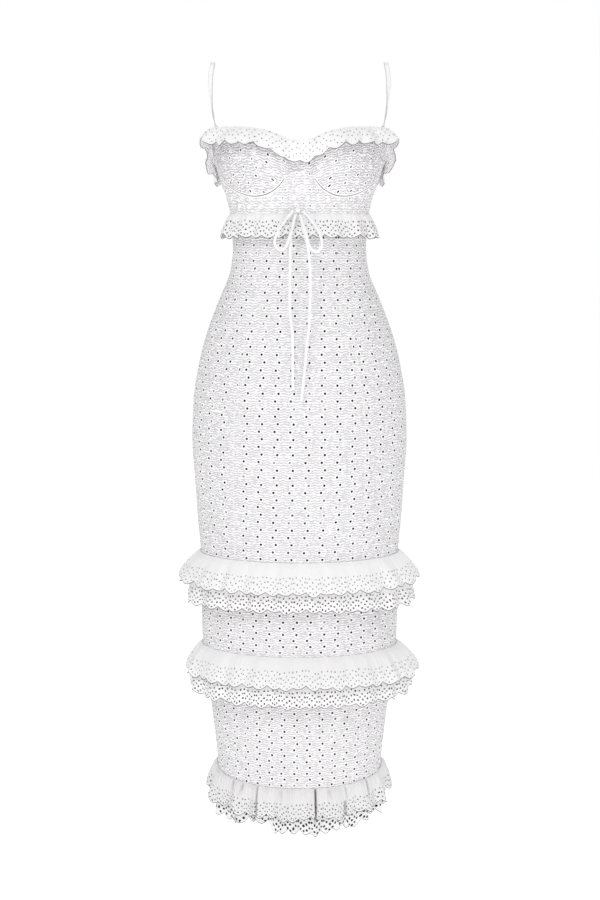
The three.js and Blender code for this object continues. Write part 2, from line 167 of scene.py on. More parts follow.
# Level and angle of the seams between the middle and the sides of the skirt front
PRINCESS_ROWS = ((-246, 33), (-431, 33.5), (-544, 35.4), (-643, 36.9), (-814, 39.4))
# Angle, drop and flare of the neckline ruffle
NECK_RUFFLE_ROWS = (
    (0, 38, 10),
    (14, 32, 11),
    (31, 28, 15),
    (48, 30, 18),
    (62, 26, 26),
    (75, 24, 16),
    (90, 25, 9),
    (120, 25, 10),
    (180, 25, 12),
)
# Level and distance between columns of eyelets, which the cloth is stretched to
EYELET_PITCH_ROWS = (
    (-246, 21.5), (-337, 22.5), (-437, 24.1), (-560, 25.5), (-700, 25.8), (-814, 25.6),
    (-815, 23.2), (-975, 23), (-976, 22), (-1206, 21.3),
)
# Angle, and how far the edge of the lowest ruffle is caught up there
HEM_RISE_ROWS = (
    (-95, 0), (-73, 3), (-55, 2), (-41, 9), (-29, 17), (-22, 15), (-17, -2), (-8, 5), (0, 0), (17, -2),
    (29, 8), (38, -1), (53, 13), (75, 5), (95, 0), (118, 4), (136, 13), (150, 16), (157, -1), (176, 4),
    (193, -2), (210, 11), (226, -1), (243, 10), (265, 0),
)

GAP = 0.3
JOIN = 0.02
WAIST_SEAM = -246.0
TIER_1_SEAM = -814.0
TIER_2_SEAM = -975.0
HEM_SEAM_FRONT = -1206.0
HEM_SEAM_SIDE = -1190.0
CUP_SIDE = 75.0
BODICE_BACK = 100.0
SIDE_SEAM = 95.0
BACK_SEAM = 265.0
STRAP_CORNER = 62.0


@dataclass(frozen=True)
class Crease:
    """One soft fold of the fitted cloth; tilt is from level, and depth is outwards."""

    angle: float
    level: float
    length: float
    width: float
    tilt: float
    depth: float


# Drag lines at the waist, hips and bodice of the front, and the like of them behind
CREASES = (
    Crease(0, -181, 13, 2.6, 0, 1.3),
    Crease(2, -189, 15, 2.4, 4, -0.9),
    Crease(-2, -196, 17, 2.8, -3, 1.2),
    Crease(3, -205, 19, 2.8, 2, 0.8),
    Crease(-14, -213, 26, 3.2, -12, 0.9),
    Crease(18, -215, 24, 3.2, 11, 0.9),
    Crease(-40, -231, 34, 3.4, -5, 0.8),
    Crease(44, -230, 32, 3.4, 6, 0.8),
    Crease(-64, -214, 22, 3.4, -24, 0.9),
    Crease(66, -212, 22, 3.4, 25, 0.9),
    Crease(-86, -202, 17, 4, -16, 1),
    Crease(87, -205, 18, 4, 14, 1),
    Crease(27, -292, 30, 4.6, 12, 0.9),
    Crease(-24, -300, 26, 4.4, -9, 0.7),
    Crease(56, -306, 28, 4.8, 20, 1.1),
    Crease(-58, -298, 30, 4.8, -18, 1),
    Crease(70, -328, 26, 5, 28, 1),
    Crease(-73, -334, 28, 5, -30, 1),
    Crease(8, -345, 34, 6, 3, 0.6),
    Crease(-9, -395, 40, 7, -4, 0.5),
    Crease(64, -432, 44, 8, 52, 0.9),
    Crease(-66, -446, 46, 8, -50, 0.9),
    Crease(52, -520, 60, 12, 70, 0.8),
    Crease(-49, -610, 70, 13, -72, 0.8),
    Crease(20, -700, 60, 14, 82, 0.6),
    Crease(-16, -745, 52, 12, -80, 0.6),
    Crease(60, -1080, 46, 9, 62, 0.9),
    Crease(-64, -1120, 44, 9, -66, 0.9),
    Crease(118, -300, 30, 4.8, -14, 1),
    Crease(152, -312, 34, 5, 10, 1.1),
    Crease(206, -305, 32, 5, -12, 1),
    Crease(240, -298, 28, 4.6, 15, 1),
    Crease(166, -352, 38, 6, 6, 0.8),
    Crease(194, -366, 36, 6, -8, 0.8),
    Crease(126, -440, 46, 9, -46, 0.9),
    Crease(236, -452, 44, 9, 48, 0.9),
    Crease(140, -225, 24, 3.6, 5, 0.9),
    Crease(214, -218, 26, 3.6, -6, 0.9),
    Crease(172, -690, 66, 13, 78, 0.7),
    Crease(150, -1090, 48, 10, -70, 0.8),
)


class Figure:
    """The outer face of the dress, as a height profile with cups and soft folds."""

    CUP_RADIUS = 59.0
    CUP_X = 73.0
    CUP_Z = -159.0
    CUP_PROJECTION = 17.0
    CUP_BRIDGE_Z = -177.0
    CUP_INNER_SHARE = 0.905
    SEAM_WIDTH = 126.0
    # The mean radius round the dress, as a share of its half width
    FOLD_RADIUS_SHARE = 0.85

    def __init__(self) -> None:
        """Makes the tables into smooth curves."""
        self.half, self.front, self.back = profiles(FIGURE_ROWS)
        (self.top,) = profiles(NECKLINE_ROWS)
        (self.princess,) = profiles(PRINCESS_ROWS)

    def neckline(self, angle: Array) -> Array:
        """Returns the level of the top edge at each angle."""
        turned = np.abs(angle) % 360
        return self.top.at(np.where(turned > 180, 360 - turned, turned))

    def hem_seam(self, angle: Array) -> Array:
        """Returns the level of the hem seam, which is lowest in the middle of the front."""
        forward = np.maximum(0, np.cos(np.radians(angle)))
        return HEM_SEAM_SIDE + (HEM_SEAM_FRONT - HEM_SEAM_SIDE) * np.sqrt(forward)

    def cup_seam(self, angle: Array) -> Array:
        """Follows the underwire seam: an arc below each cup, and a straight bridge between them.

        Args:
            angle: Angle round the dress.

        Returns:
            The level of the seam at each angle.
        """
        x = self.SEAM_WIDTH * np.sin(np.radians(np.abs(angle)))
        inner = self.CUP_X - self.CUP_RADIUS * self.CUP_INNER_SHARE

        def arc(at: Array) -> Array:
            """Returns the level of a cup's lower edge at each place across."""
            return self.CUP_Z - np.sqrt(np.maximum(0, self.CUP_RADIUS**2 - (at - self.CUP_X) ** 2))

        bridge = self.CUP_BRIDGE_Z + (arc(np.array(inner)) - self.CUP_BRIDGE_Z) * x / inner
        return np.where(x > inner, arc(x), bridge)

    def relief(self, x: Array, y: Array, z: Array) -> Array:
        """Returns how far the cups stand out of the plain bodice."""
        distance = np.hypot(np.abs(x) - self.CUP_X, z - self.CUP_Z) / self.CUP_RADIUS
        return np.where((distance < 1) & (y < 0), self.CUP_PROJECTION * (1 - distance**2), 0)

    def folds(self, angle: Array, z: Array) -> Array:
        """Adds up the soft folds.

        Args:
            angle: Angle round the dress.
            z: Level.

        Returns:
            How far the cloth stands out of the plain face at each place.
        """
        out = np.zeros(np.broadcast(angle, z).shape)
        radius = self.half.at(z) * self.FOLD_RADIUS_SHARE
        for crease in CREASES:
            turn = (angle - crease.angle + 180) % 360 - 180
            aside, up = np.radians(turn) * radius, z - crease.level
            tilt = math.radians(crease.tilt)
            along = (aside * math.cos(tilt) + up * math.sin(tilt)) / crease.length
            across = (up * math.cos(tilt) - aside * math.sin(tilt)) / crease.width
            out = out + crease.depth * np.exp(-(along**2) - across**2)
        return out

    def point(self, angle: Array, z: Array, out: Array | float) -> Array:
        """Finds points on the dress.

        Args:
            angle: Angle round the dress.
            z: Level.
            out: Distance out from the plain face.

        Returns:
            The points, with x, y and z in the last axis.
        """
        turn = np.radians(angle)
        half = self.half.at(z)
        depth = np.where(np.cos(turn) > 0, self.front.at(z), self.back.at(z))
        x, y = half * np.sin(turn), -depth * np.cos(turn)
        nx, ny = x / half**2, y / depth**2
        size = np.hypot(nx, ny)
        moved = out + self.relief(x, y, z)
        return np.stack([x + nx / size * moved, y + ny / size * moved, z + 0 * x], axis=-1)


FIGURE = Figure()

# An irregular wave is the sum of three, whose rates are in no simple ratio
WAVE_RATES = (0.61, 1.0, 1.73)
SEED_TURN = 2.4
RATE_TURN = 1.9


def uneven(across: Array, seed: int, turns: float) -> Array:
    """Makes a slow irregular wave.

    Args:
        across: Share of the way along the piece.
        seed: Picks one wave of many.
        turns: About how many swings it makes.

    Returns:
        Values from -1 to 1.
    """
    total = np.zeros_like(across)
    for k, rate in enumerate(WAVE_RATES):
        total = total + np.sin(2 * math.pi * turns * rate * across + SEED_TURN * seed + RATE_TURN * k)
    return total / len(WAVE_RATES)


def smooth_route(stops: Sequence[Sequence[float]], steps: int) -> Array:
    """Runs a centripetal Catmull-Rom curve through the stops.

    Args:
        stops: The points of the route.
        steps: Steps between each stop and the next.

    Returns:
        The points of the curve.
    """
    p = np.array(stops, float)
    p = np.vstack([2 * p[0] - p[1], p, 2 * p[-1] - p[-2]])
    made = []
    for i in range(1, len(p) - 2):
        p0, p1, p2, p3 = p[i - 1 : i + 3]
        d0, d1, d2 = (np.linalg.norm(b - a) ** 0.5 for a, b in ((p0, p1), (p1, p2), (p2, p3)))
        m1 = (p1 - p0) / d0 - (p2 - p0) / (d0 + d1) + (p2 - p1) / d1
        m2 = (p2 - p1) / d1 - (p3 - p1) / (d1 + d2) + (p3 - p2) / d2
        t = np.arange(steps + (i == len(p) - 3))[:, None] / steps
        made.append(
            p1 * (1 + 2 * t) * (1 - t) ** 2
            + m1 * d1 * t * (1 - t) ** 2
            + p2 * t * t * (3 - 2 * t)
            - m2 * d1 * t * t * (1 - t)
        )
    return np.vstack(made)


class Graph:
    """Builds the nodes of one material."""

    SPECULAR = 0.25
    SHEEN_ROUGHNESS = 0.6
    # The mix node's sockets for colours have the same names as its others, so they go by number
    MIX_SHARE, MIX_FIRST, MIX_SECOND, MIXED = 0, 6, 7, 2

    def __init__(self, name: str) -> None:
        """Starts a material with the usual shader.

        Args:
            name: The material's name.
        """
        self.material = bpy.data.materials.new(name)
        self.material.use_nodes = True
        self.nodes = self.material.node_tree.nodes
        self.links = self.material.node_tree.links
        self.shader = next(n for n in self.nodes if n.type == "BSDF_PRINCIPLED")

    def node(self, kind: str, inputs: dict[int | str, object], **settings: object) -> bpy.types.Node:
        """Adds a node.

        Args:
            kind: The node's type.
            inputs: Value or socket for each input, by number or name.
            **settings: The node's own settings.

        Returns:
            The node.
        """
        made = self.nodes.new(kind)
        for key, value in settings.items():
            setattr(made, key, value)
        for key, value in inputs.items():
            if isinstance(value, bpy.types.NodeSocket):
                self.links.new(value, made.inputs[key])
            else:
                made.inputs[key].default_value = value
        return made

    def math(self, operation: str, *values: object) -> bpy.types.NodeSocket:
        """Returns the result of one sum on values or sockets."""
        return self.node("ShaderNodeMath", dict(enumerate(values)), operation=operation).outputs[0]

    def smooth(self, value: object, low: float, high: float) -> bpy.types.NodeSocket:
        """Makes a soft step.

        Args:
            value: The value that is read.
            low: Where the step is 0.
            high: Where it is 1, which may be the smaller.

        Returns:
            The step's height at the value.
        """
        flip = low > high
        ends = {"Value": value, "From Min": min(low, high), "From Max": max(low, high)}
        ends |= {"To Min": float(flip), "To Max": float(not flip)}
        return self.node("ShaderNodeMapRange", ends, interpolation_type="SMOOTHSTEP").outputs[0]

    def mix(self, share: object, first: object, second: object) -> bpy.types.NodeSocket:
        """Returns one colour mixed into another by a share."""
        inputs = {self.MIX_SHARE: share, self.MIX_FIRST: first, self.MIX_SECOND: second}
        return self.node("ShaderNodeMix", inputs, data_type="RGBA").outputs[self.MIXED]

    def pattern(self) -> tuple[bpy.types.NodeSocket, bpy.types.NodeSocket]:
        """Reads the piece's own pattern map.

        Returns:
            The place across the cloth and the place down it, in millimetres.
        """
        place = self.node("ShaderNodeUVMap", {}, uv_map="pattern").outputs[0]
        split = self.node("ShaderNodeSeparateXYZ", {0: place})
        across, down = (self.math("MULTIPLY", split.outputs[axis], 1 / MM) for axis in (0, 1))
        return across, down

    def seam(self) -> bpy.types.NodeSocket:
        """Returns the distance from the piece's sewn or cut edge, in millimetres."""
        return self.node("ShaderNodeAttribute", {}, attribute_name="seam").outputs["Fac"]

    def noise(self, scale: float, detail: float) -> bpy.types.Node:
        """Returns a noise node that runs through the object's own space."""
        place = self.node("ShaderNodeTexCoord", {}).outputs["Object"]
        return self.node("ShaderNodeTexNoise", {"Vector": place, "Scale": scale, "Detail": detail})

    def bump(self, height: object) -> None:
        """Uses a height in millimetres as the shader's relief."""
        made = self.node("ShaderNodeBump", {"Height": height, "Strength": 1.0, "Distance": MM})
        self.links.new(made.outputs[0], self.shader.inputs["Normal"])

    def finish(self, colour: bpy.types.NodeSocket, roughness: float, sheen: float) -> bpy.types.Material:
        """Sets the shader's colour and constants.

        Args:
            colour: The colour's socket.
            roughness: How matt the cloth is.
            sheen: How much its fibres catch light at the sides.

        Returns:
            The material.
        """
        self.links.new(colour, self.shader.inputs["Base Color"])
        self.shader.inputs["Roughness"].default_value = roughness
        self.shader.inputs["Specular IOR Level"].default_value = self.SPECULAR
        self.shader.inputs["Sheen Weight"].default_value = sheen
        self.shader.inputs["Sheen Roughness"].default_value = self.SHEEN_ROUGHNESS
        return self.material


# Turned edges, sewn seams and the depths of pleats, where little light falls
UNDERSIDE = (0.24, 0.235, 0.24, 1)


# Noise scales are per metre, and reliefs in millimetres
WEAVE_SCALE = 900.0
WEAVE_RELIEF = 0.05
CLOTH_SHEEN = 0.1


@dataclass(frozen=True)
class EyeletCloth:
    """Crinkled cloth with rows of small worked eyelets.

    The pitch of its eyelets, their rings, the channels beside seams and the relief are in millimetres.
    Rows and columns drift a little, each eyelet sits a little off its place, and worn ones are part closed.
    The crinkles run in swags between the eyelets. They are more broken towards the sides of the dress,
    which start and end at distances in metres from its middle.
    """

    name: str
    # light is the cloth's own colour; base is the grey of the crinkles' painted shade and of the random
    # blotches; hole is the painted shade inside the eyelets
    base: Colour
    light: Colour
    hole: Colour
    column: float = 26.0
    row: float = 12.5
    stagger: float = 2.6
    drift_scale: float = 11.0
    drift_across: float = 3.4
    drift_down: float = 2.6
    jitter: float = 0.6
    hole_radius: float = 2.0
    hole_blur: float = 0.35
    hole_depth: float = 0.6
    ring_radius: float = 3.9
    ring_blur_out: float = 0.5
    ring_blur_in: float = 0.6
    ring_relief: float = 0.34
    worn_share: float = 0.35
    most_worn: float = 0.35
    ridge: float = 12.5 / 3
    scallop: float = 13.0
    swag_depth: float = 0.42
    relief: float = 0.3
    unrest: float = 1.4
    unrest_scale: float = 85.0
    side_start: float = 0.06
    side_full: float = 0.15
    side_unrest: float = 1.3
    side_shade: float = 0.3
    channel: float = 0.5
    channel_fade: float = 0.5
    # Width of the painted shade line beside the sewn edge
    edge_line: float = 0.0
    edge_blur: float = 0.25
    patch_scale: float = 190.0
    deepest: float = 0.34
    roughness: float = 0.92

    # Where grey sets in and where it is full, on the crinkles' wave, whose crests are 1 and valleys -1
    SLOPE = (0.8, -0.3)
    VALLEY = (-0.2, -0.95)
    # The same in the noise of the patches, for the slopes and for the blotches over all
    PATCHED = (0.2, 0.5)
    BLOTCHED = (0.5, 0.68)

    def material(self) -> bpy.types.Material:
        """Lays out the eyelets, each at the middle of its cell.

        Returns:
            The cloth as a material.
        """
        g = Graph(self.name)
        u, v = g.pattern()
        drift = g.node("ShaderNodeSeparateXYZ", {0: g.noise(self.drift_scale, 1).outputs["Color"]})
        x, y = (g.math("ADD", place, g.math("MULTIPLY", g.math("SUBTRACT", moved, 0.5), most))
                for place, moved, most in ((u, drift.outputs[0], self.drift_across),
                                           (v, drift.outputs[1], self.drift_down)))
        row = g.math("ROUND", g.math("DIVIDE", y, self.row))
        side = g.math("SUBTRACT", g.math("PINGPONG", row, 1.0), 0.5)
        aside = g.math("SUBTRACT", x, g.math("MULTIPLY", side, 2 * self.stagger))
        column = g.math("ROUND", g.math("DIVIDE", aside, self.column))
        cell = g.node("ShaderNodeCombineXYZ", {0: column, 1: row})
        chance = g.node("ShaderNodeTexWhiteNoise", {0: cell.outputs[0]}, noise_dimensions="2D")
        dice = g.node("ShaderNodeSeparateXYZ", {0: chance.outputs["Color"]})
        near = [g.math("SUBTRACT", place, g.math("MULTIPLY", count, pitch))
                for place, count, pitch in ((aside, column, self.column), (y, row, self.row))]
        near = [g.math("ADD", offset, g.math("MULTIPLY", g.math("SUBTRACT", roll, 0.5), self.jitter))
                for offset, roll in zip(near, (dice.outputs[0], dice.outputs[1]))]
        away = g.math("SQRT", g.math("ADD", g.math("POWER", g.math("ABSOLUTE", near[0]), 2.0),
                                     g.math("POWER", g.math("ABSOLUTE", near[1]), 2.0)))
        flat = g.smooth(g.seam(), self.channel - self.channel_fade, self.channel + self.channel_fade)
        worn = g.math("MULTIPLY", g.smooth(dice.outputs[2], self.worn_share, 0.0), self.most_worn)
        open_share = g.math("MULTIPLY", flat, g.math("SUBTRACT", 1.0, worn))
        pierced = g.smooth(away, self.hole_radius + self.hole_blur, self.hole_radius - self.hole_blur)
        hole = g.math("MULTIPLY", pierced, open_share)
        worked = g.smooth(away, self.ring_radius + self.ring_blur_out, self.ring_radius - self.ring_blur_in)
        ring = g.math("MULTIPLY", worked, flat)
        return self._finished(g, x, y, hole, ring, flat)

    def _finished(
        self,
        g: Graph,
        x: bpy.types.NodeSocket,
        y: bpy.types.NodeSocket,
        hole: bpy.types.NodeSocket,
        ring: bpy.types.NodeSocket,
        flat: bpy.types.NodeSocket,
    ) -> bpy.types.Material:
        """Adds the scalloped crinkles between the eyelets.

        Args:
            g: The material's graph.
            x: Place across the cloth.
            y: Place down the cloth.
            hole: 1 inside an eyelet's hole.
            ring: 1 inside its worked ring.
            flat: 0 on the smooth channels beside seams.

        Returns:
            The material.
        """
        swag = g.math("ABSOLUTE", g.math("SINE", g.math("MULTIPLY", x, math.pi / self.scallop)))
        place = g.node("ShaderNodeTexCoord", {}).outputs["Object"]
        aside = g.math("ABSOLUTE", g.node("ShaderNodeSeparateXYZ", {0: place}).outputs[0])
        side = g.smooth(aside, self.side_start, self.side_full)
        unrest = g.math("ADD", g.math("MULTIPLY", side, self.side_unrest), self.unrest)
        rough = g.math("MULTIPLY", g.math("SUBTRACT", g.noise(self.unrest_scale, 2).outputs[0], 0.5), unrest)
        phase = g.math("SUBTRACT", g.math("DIVIDE", y, self.ridge), g.math("MULTIPLY", swag, self.swag_depth))
        wave = g.math("SINE", g.math("MULTIPLY", g.math("ADD", phase, rough), 2 * math.pi))
        strength = g.math("MULTIPLY", flat, g.math("SUBTRACT", 1.0, ring))
        weave = g.math("MULTIPLY", g.noise(WEAVE_SCALE, 1).outputs[0], WEAVE_RELIEF)
        height = g.math("MULTIPLY", g.math("MULTIPLY", wave, strength), self.relief)
        height = g.math("ADD", g.math("ADD", height, weave), g.math("MULTIPLY", ring, self.ring_relief))
        g.bump(g.math("SUBTRACT", height, g.math("MULTIPLY", hole, self.hole_depth)))
        # Painted shade: the crinkles' slopes are grey in patches and the bottoms of their valleys all along,
        # and noise lays grey blotches over all
        broken = g.noise(self.patch_scale, 1).outputs[0]
        slope_shade = g.math("MULTIPLY", g.smooth(wave, *self.SLOPE), g.smooth(broken, *self.PATCHED))
        blotch = g.smooth(broken, *self.BLOTCHED)
        valley_shade = g.math("MULTIPLY", g.smooth(wave, *self.VALLEY), self.deepest)
        grey = g.math("ADD", g.math("MULTIPLY", g.math("MAXIMUM", slope_shade, blotch), 1 - self.deepest), valley_shade)
        # The grey, painted shade, grows stronger towards the sides of the dress
        grey = g.math("MULTIPLY", grey, g.math("ADD", g.math("MULTIPLY", side, self.side_shade), 1.0))
        grey = g.math("MULTIPLY", grey, strength)
        # Painted shade: a dark line beside the sewn edge, where the seam lies in shadow
        line = g.smooth(g.seam(), self.edge_line + self.edge_blur, self.edge_line - self.edge_blur)
        colour = g.mix(grey, self.light, self.base)
        colour = g.mix(line, colour, UNDERSIDE)
        # Painted shade: each open eyelet is painted near black, for the shaded inside of the dress seen
        # through the hole
        return g.finish(g.mix(hole, colour, self.hole), self.roughness, CLOTH_SHEEN)


# Holes of one scallop of trim: distance from its middle and height above its lowest point
TRIM_HOLES = (
    (0, 4.8), (4.8, 7.6), (8.8, 12.2), (0, 13), (4.4, 16.6), (9.6, 20), (0, 21.5), (11.5, 26), (5, 26.5),
)


@dataclass(frozen=True)
class TrimCloth:
    """Smooth cloth with pierced work above a scalloped and overstitched edge, in millimetres."""

    name: str
    # base is the trim's own colour and light that of its raised rings and border; hole is the painted shade
    # inside the holes
    base: Colour
    light: Colour
    hole: Colour
    hole_radius: float = 0.95
    hole_depth: float = 0.5
    ring: float = 0.9
    ring_blur_out: float = 0.4
    ring_blur_in: float = 0.2
    ring_relief: float = 0.22
    scallop: float = 23.0
    stitched: float = 3.2
    stitch_relief: float = 0.3
    thread: float = 0.8
    thread_relief: float = 0.05
    # Width of the painted shade line along the scalloped edge, for its underside and the shadow below it
    shade_line: float = 1.3
    shade_line_blur: float = 0.25
    blur: float = 0.3
    scatter: float = 2.2
    scatter_scale: float = 95.0
    spread: float = 1.0
    rumple_scale: float = 60.0
    rumple_relief: float = 0.5
    roughness: float = 0.88

    def material(self) -> bpy.types.Material:
        """Pierces the holes of each scallop, a little scattered, and stitches its edge.

        Returns:
            The trim as a material.
        """
        g = Graph(self.name)
        x, y = g.pattern()
        scatter = g.node("ShaderNodeSeparateXYZ", {0: g.noise(self.scatter_scale, 0).outputs["Color"]})
        moved = [g.math("ADD", place, g.math("MULTIPLY", g.math("SUBTRACT", roll, 0.5), 2 * self.scatter))
                 for place, roll in ((x, scatter.outputs[0]), (y, scatter.outputs[1]))]
        across, up = (g.math("DIVIDE", place, self.spread) for place in moved)
        share = g.math("SUBTRACT", g.math("FRACT", g.math("DIVIDE", across, self.scallop)), 0.5)
        aside = g.math("MULTIPLY", g.math("ABSOLUTE", share), self.scallop)
        here = g.node("ShaderNodeCombineXYZ", {0: aside, 1: up}).outputs[0]
        away: object = self.scallop
        for place in TRIM_HOLES:
            gap = g.node("ShaderNodeVectorMath", {0: here, 1: (*place, 0)}, operation="DISTANCE")
            away = g.math("MINIMUM", away, g.math("MULTIPLY", gap.outputs["Value"], self.spread))
        hole = g.smooth(away, self.hole_radius + self.blur, self.hole_radius - self.blur)
        ring_edge = self.hole_radius + self.ring
        ring = g.smooth(away, ring_edge + self.ring_blur_out, self.hole_radius + self.ring_blur_in)
        border = g.smooth(g.seam(), self.stitched + self.blur, self.stitched - self.blur)
        thread = g.math("MULTIPLY", g.math("SINE", g.math("MULTIPLY", x, 2 * math.pi / self.thread)),
                        self.thread_relief)
        raised = g.math("MULTIPLY", border, g.math("ADD", thread, self.stitch_relief))
        cloth = g.math("ADD", g.math("MULTIPLY", g.noise(WEAVE_SCALE, 1).outputs[0], WEAVE_RELIEF),
                       g.math("MULTIPLY", g.noise(self.rumple_scale, 2).outputs[0], self.rumple_relief))
        height = g.math("ADD", g.math("ADD", cloth, raised), g.math("MULTIPLY", ring, self.ring_relief))
        g.bump(g.math("SUBTRACT", height, g.math("MULTIPLY", hole, self.hole_depth)))
        tone = g.mix(g.math("MAXIMUM", ring, border), self.base, self.light)
        # Painted shade: a dark line along the scalloped edge, where its underside and shadow lie, and in the
        # depths of pleats
        turned = g.smooth(g.seam(), self.shade_line + self.shade_line_blur, self.shade_line - self.shade_line_blur)
        shade = g.node("ShaderNodeAttribute", {}, attribute_name="shade").outputs["Fac"]
        tone = g.mix(g.math("MAXIMUM", turned, shade), tone, UNDERSIDE)
        # Painted shade: each hole is painted dark, for the shade of the layer or the inside behind it
        return g.finish(g.mix(hole, tone, self.hole), self.roughness, CLOTH_SHEEN)


@dataclass(frozen=True)
class BiasTape:
    """Smooth bias-cut tape and cord, with a fine diagonal weave and edge stitching."""

    name: str
    base: Colour
    shade: Colour
    stitch_at: float = 2.7
    # Distances from the line of stitches at which it starts and is full
    stitch_line: tuple[float, float] = (0.42, 0.18)
    stitch_pitch: float = 2.4
    # Where each stitch ends and the next starts, on a wave from -1 to 1
    stitch_ends: tuple[float, float] = (-0.7, -0.3)
    stitch_relief: float = 0.2
    groove_depth: float = 0.12
    edge_at: float = 3.0
    edge_blur: float = 0.7
    edge_shade: float = 0.5
    twill_scale: float = 420.0
    twill_waver: float = 1.5
    twill_relief: float = 0.05
    rumple_scale: float = 120.0
    rumple_relief: float = 0.35
    mottle_scale: float = 160.0
    mottle: float = 0.7
    roughness: float = 0.6
    sheen: float = 0.15

    def material(self) -> bpy.types.Material:
        """Stitches the tape along both edges.

        Returns:
            The tape as a material.
        """
        g = Graph(self.name)
        x, y = g.pattern()
        from_stitch = g.math("ABSOLUTE", g.math("SUBTRACT", g.math("ABSOLUTE", x), self.stitch_at))
        line = g.smooth(from_stitch, *self.stitch_line)
        pitch = g.math("SINE", g.math("MULTIPLY", y, 2 * math.pi / self.stitch_pitch))
        stitch = g.math("MULTIPLY", line, g.smooth(pitch, *self.stitch_ends))
        turned = g.smooth(g.math("ABSOLUTE", x), self.edge_at, self.edge_at + self.edge_blur)
        edge = g.math("MULTIPLY", turned, self.edge_shade)
        return self._woven(g, g.math("MULTIPLY", line, -self.groove_depth), stitch, edge)

    def cord(self) -> bpy.types.Material:
        """Returns the tape as a material for round cord, which has no stitching."""
        return self._woven(Graph(f"{self.name}_cord"), 0.0, 0.0, 0.0)

    def _woven(self, g: Graph, groove: object, stitch: object, edge: object) -> bpy.types.Material:
        """Adds the weave.

        Args:
            g: The material's graph.
            groove: Height of the groove that the stitches pull in.
            stitch: 1 on a stitch.
            edge: Share of shade at the folded edges.

        Returns:
            The material.
        """
        place = g.node("ShaderNodeTexCoord", {}).outputs["Object"]
        settings = {"wave_type": "BANDS", "bands_direction": "DIAGONAL"}
        inputs = {"Vector": place, "Scale": self.twill_scale, "Distortion": self.twill_waver}
        twill = g.node("ShaderNodeTexWave", inputs, **settings)
        soft = g.math("MULTIPLY", g.noise(self.rumple_scale, 2).outputs[0], self.rumple_relief)
        height = g.math("ADD", g.math("MULTIPLY", twill.outputs["Fac"], self.twill_relief), soft)
        g.bump(g.math("ADD", height, g.math("ADD", groove, g.math("MULTIPLY", stitch, self.stitch_relief))))
        uneven_tone = g.math("SUBTRACT", 1.0, g.noise(self.mottle_scale, 2).outputs[0])
        shaded = g.math("MULTIPLY", uneven_tone, self.mottle)
        tone = g.mix(edge, g.mix(shaded, self.base, self.shade), UNDERSIDE)
        return g.finish(tone, self.roughness, self.sheen)


# One white eyelet cloth: the cups' copy has a darker grey and more of it at the sides, painted shade for
# their lower and outer parts
EYELET = EyeletCloth(
    "crinkled_eyelet",
    base=(0.6, 0.588, 0.603, 1),
    light=(0.958, 0.946, 0.956, 1),
    hole=(0.006, 0.006, 0.006, 1),
)
CUP_EYELET = replace(
    EYELET, name="crinkled_cup", base=(0.53, 0.518, 0.533, 1), hole_radius=1.8, worn_share=0.8,
    most_worn=0.75, channel=2.8, channel_fade=0.6, edge_line=0.65, side_shade=0.7,
)
BAND_EYELET = replace(
    CUP_EYELET, name="crinkled_band", base=EYELET.base, hole_radius=1.6, worn_share=1.25, most_worn=0.88
)
LOWER_EYELET = replace(EYELET, name="crinkled_lower", column=22.4, row=10.6, scallop=11.2, hole_radius=1.95)

# One white trim in every copy: their tones are set lighter or darker for the light that falls where each
# hangs, painted light and shade, and their holes darker where deeper shade lies behind them
TRIM_ON_CLOTH = TrimCloth(
    "trim_over_cloth",
    base=(0.915, 0.905, 0.914, 1),
    light=(0.958, 0.947, 0.955, 1),
    hole=(0.22, 0.216, 0.217, 1),
)
TRIM_NECK = replace(
    TRIM_ON_CLOTH, name="trim_neck", base=(0.945, 0.934, 0.942, 1), light=(0.97, 0.96, 0.967, 1),
    hole=(0.3, 0.295, 0.295, 1), hole_radius=0.9, shade_line=0.9, spread=1.15,
)
# The back stretch of the neckline ruffle has paler holes and a thinner shade line: painted light, for light
# from behind
TRIM_NECK_BACK = replace(TRIM_NECK, name="trim_neck_back", hole=(0.5, 0.49, 0.49, 1), shade_line=0.45)
TRIM_WAIST = replace(
    TRIM_ON_CLOTH, name="trim_waist", base=(0.85, 0.84, 0.848, 1), hole=(0.03, 0.03, 0.03, 1), hole_radius=1.2
)
TRIM_UNDER = replace(
    TRIM_ON_CLOTH, name="trim_under", base=(0.92, 0.91, 0.918, 1), hole=(0.01, 0.01, 0.01, 1), hole_radius=1.3
)
TRIM_HEM = replace(
    TRIM_ON_CLOTH, name="trim_hem", base=(0.88, 0.87, 0.878, 1), hole=(0.004, 0.004, 0.004, 1),
    hole_radius=2.05, spread=1.2,
)
TRIM_OVER_HEM = replace(
    TRIM_ON_CLOTH, name="trim_over_hem", base=(0.79, 0.78, 0.788, 1), light=(0.9, 0.888, 0.897, 1),
    hole=(0.05, 0.05, 0.05, 1), hole_radius=1.15,
)
TAPE = BiasTape("bias_tape", (0.93, 0.93, 0.935, 1), (0.82, 0.82, 0.83, 1))


# Edges that turn by more than this stay crisp, in degrees
SHARP_TURN = 60


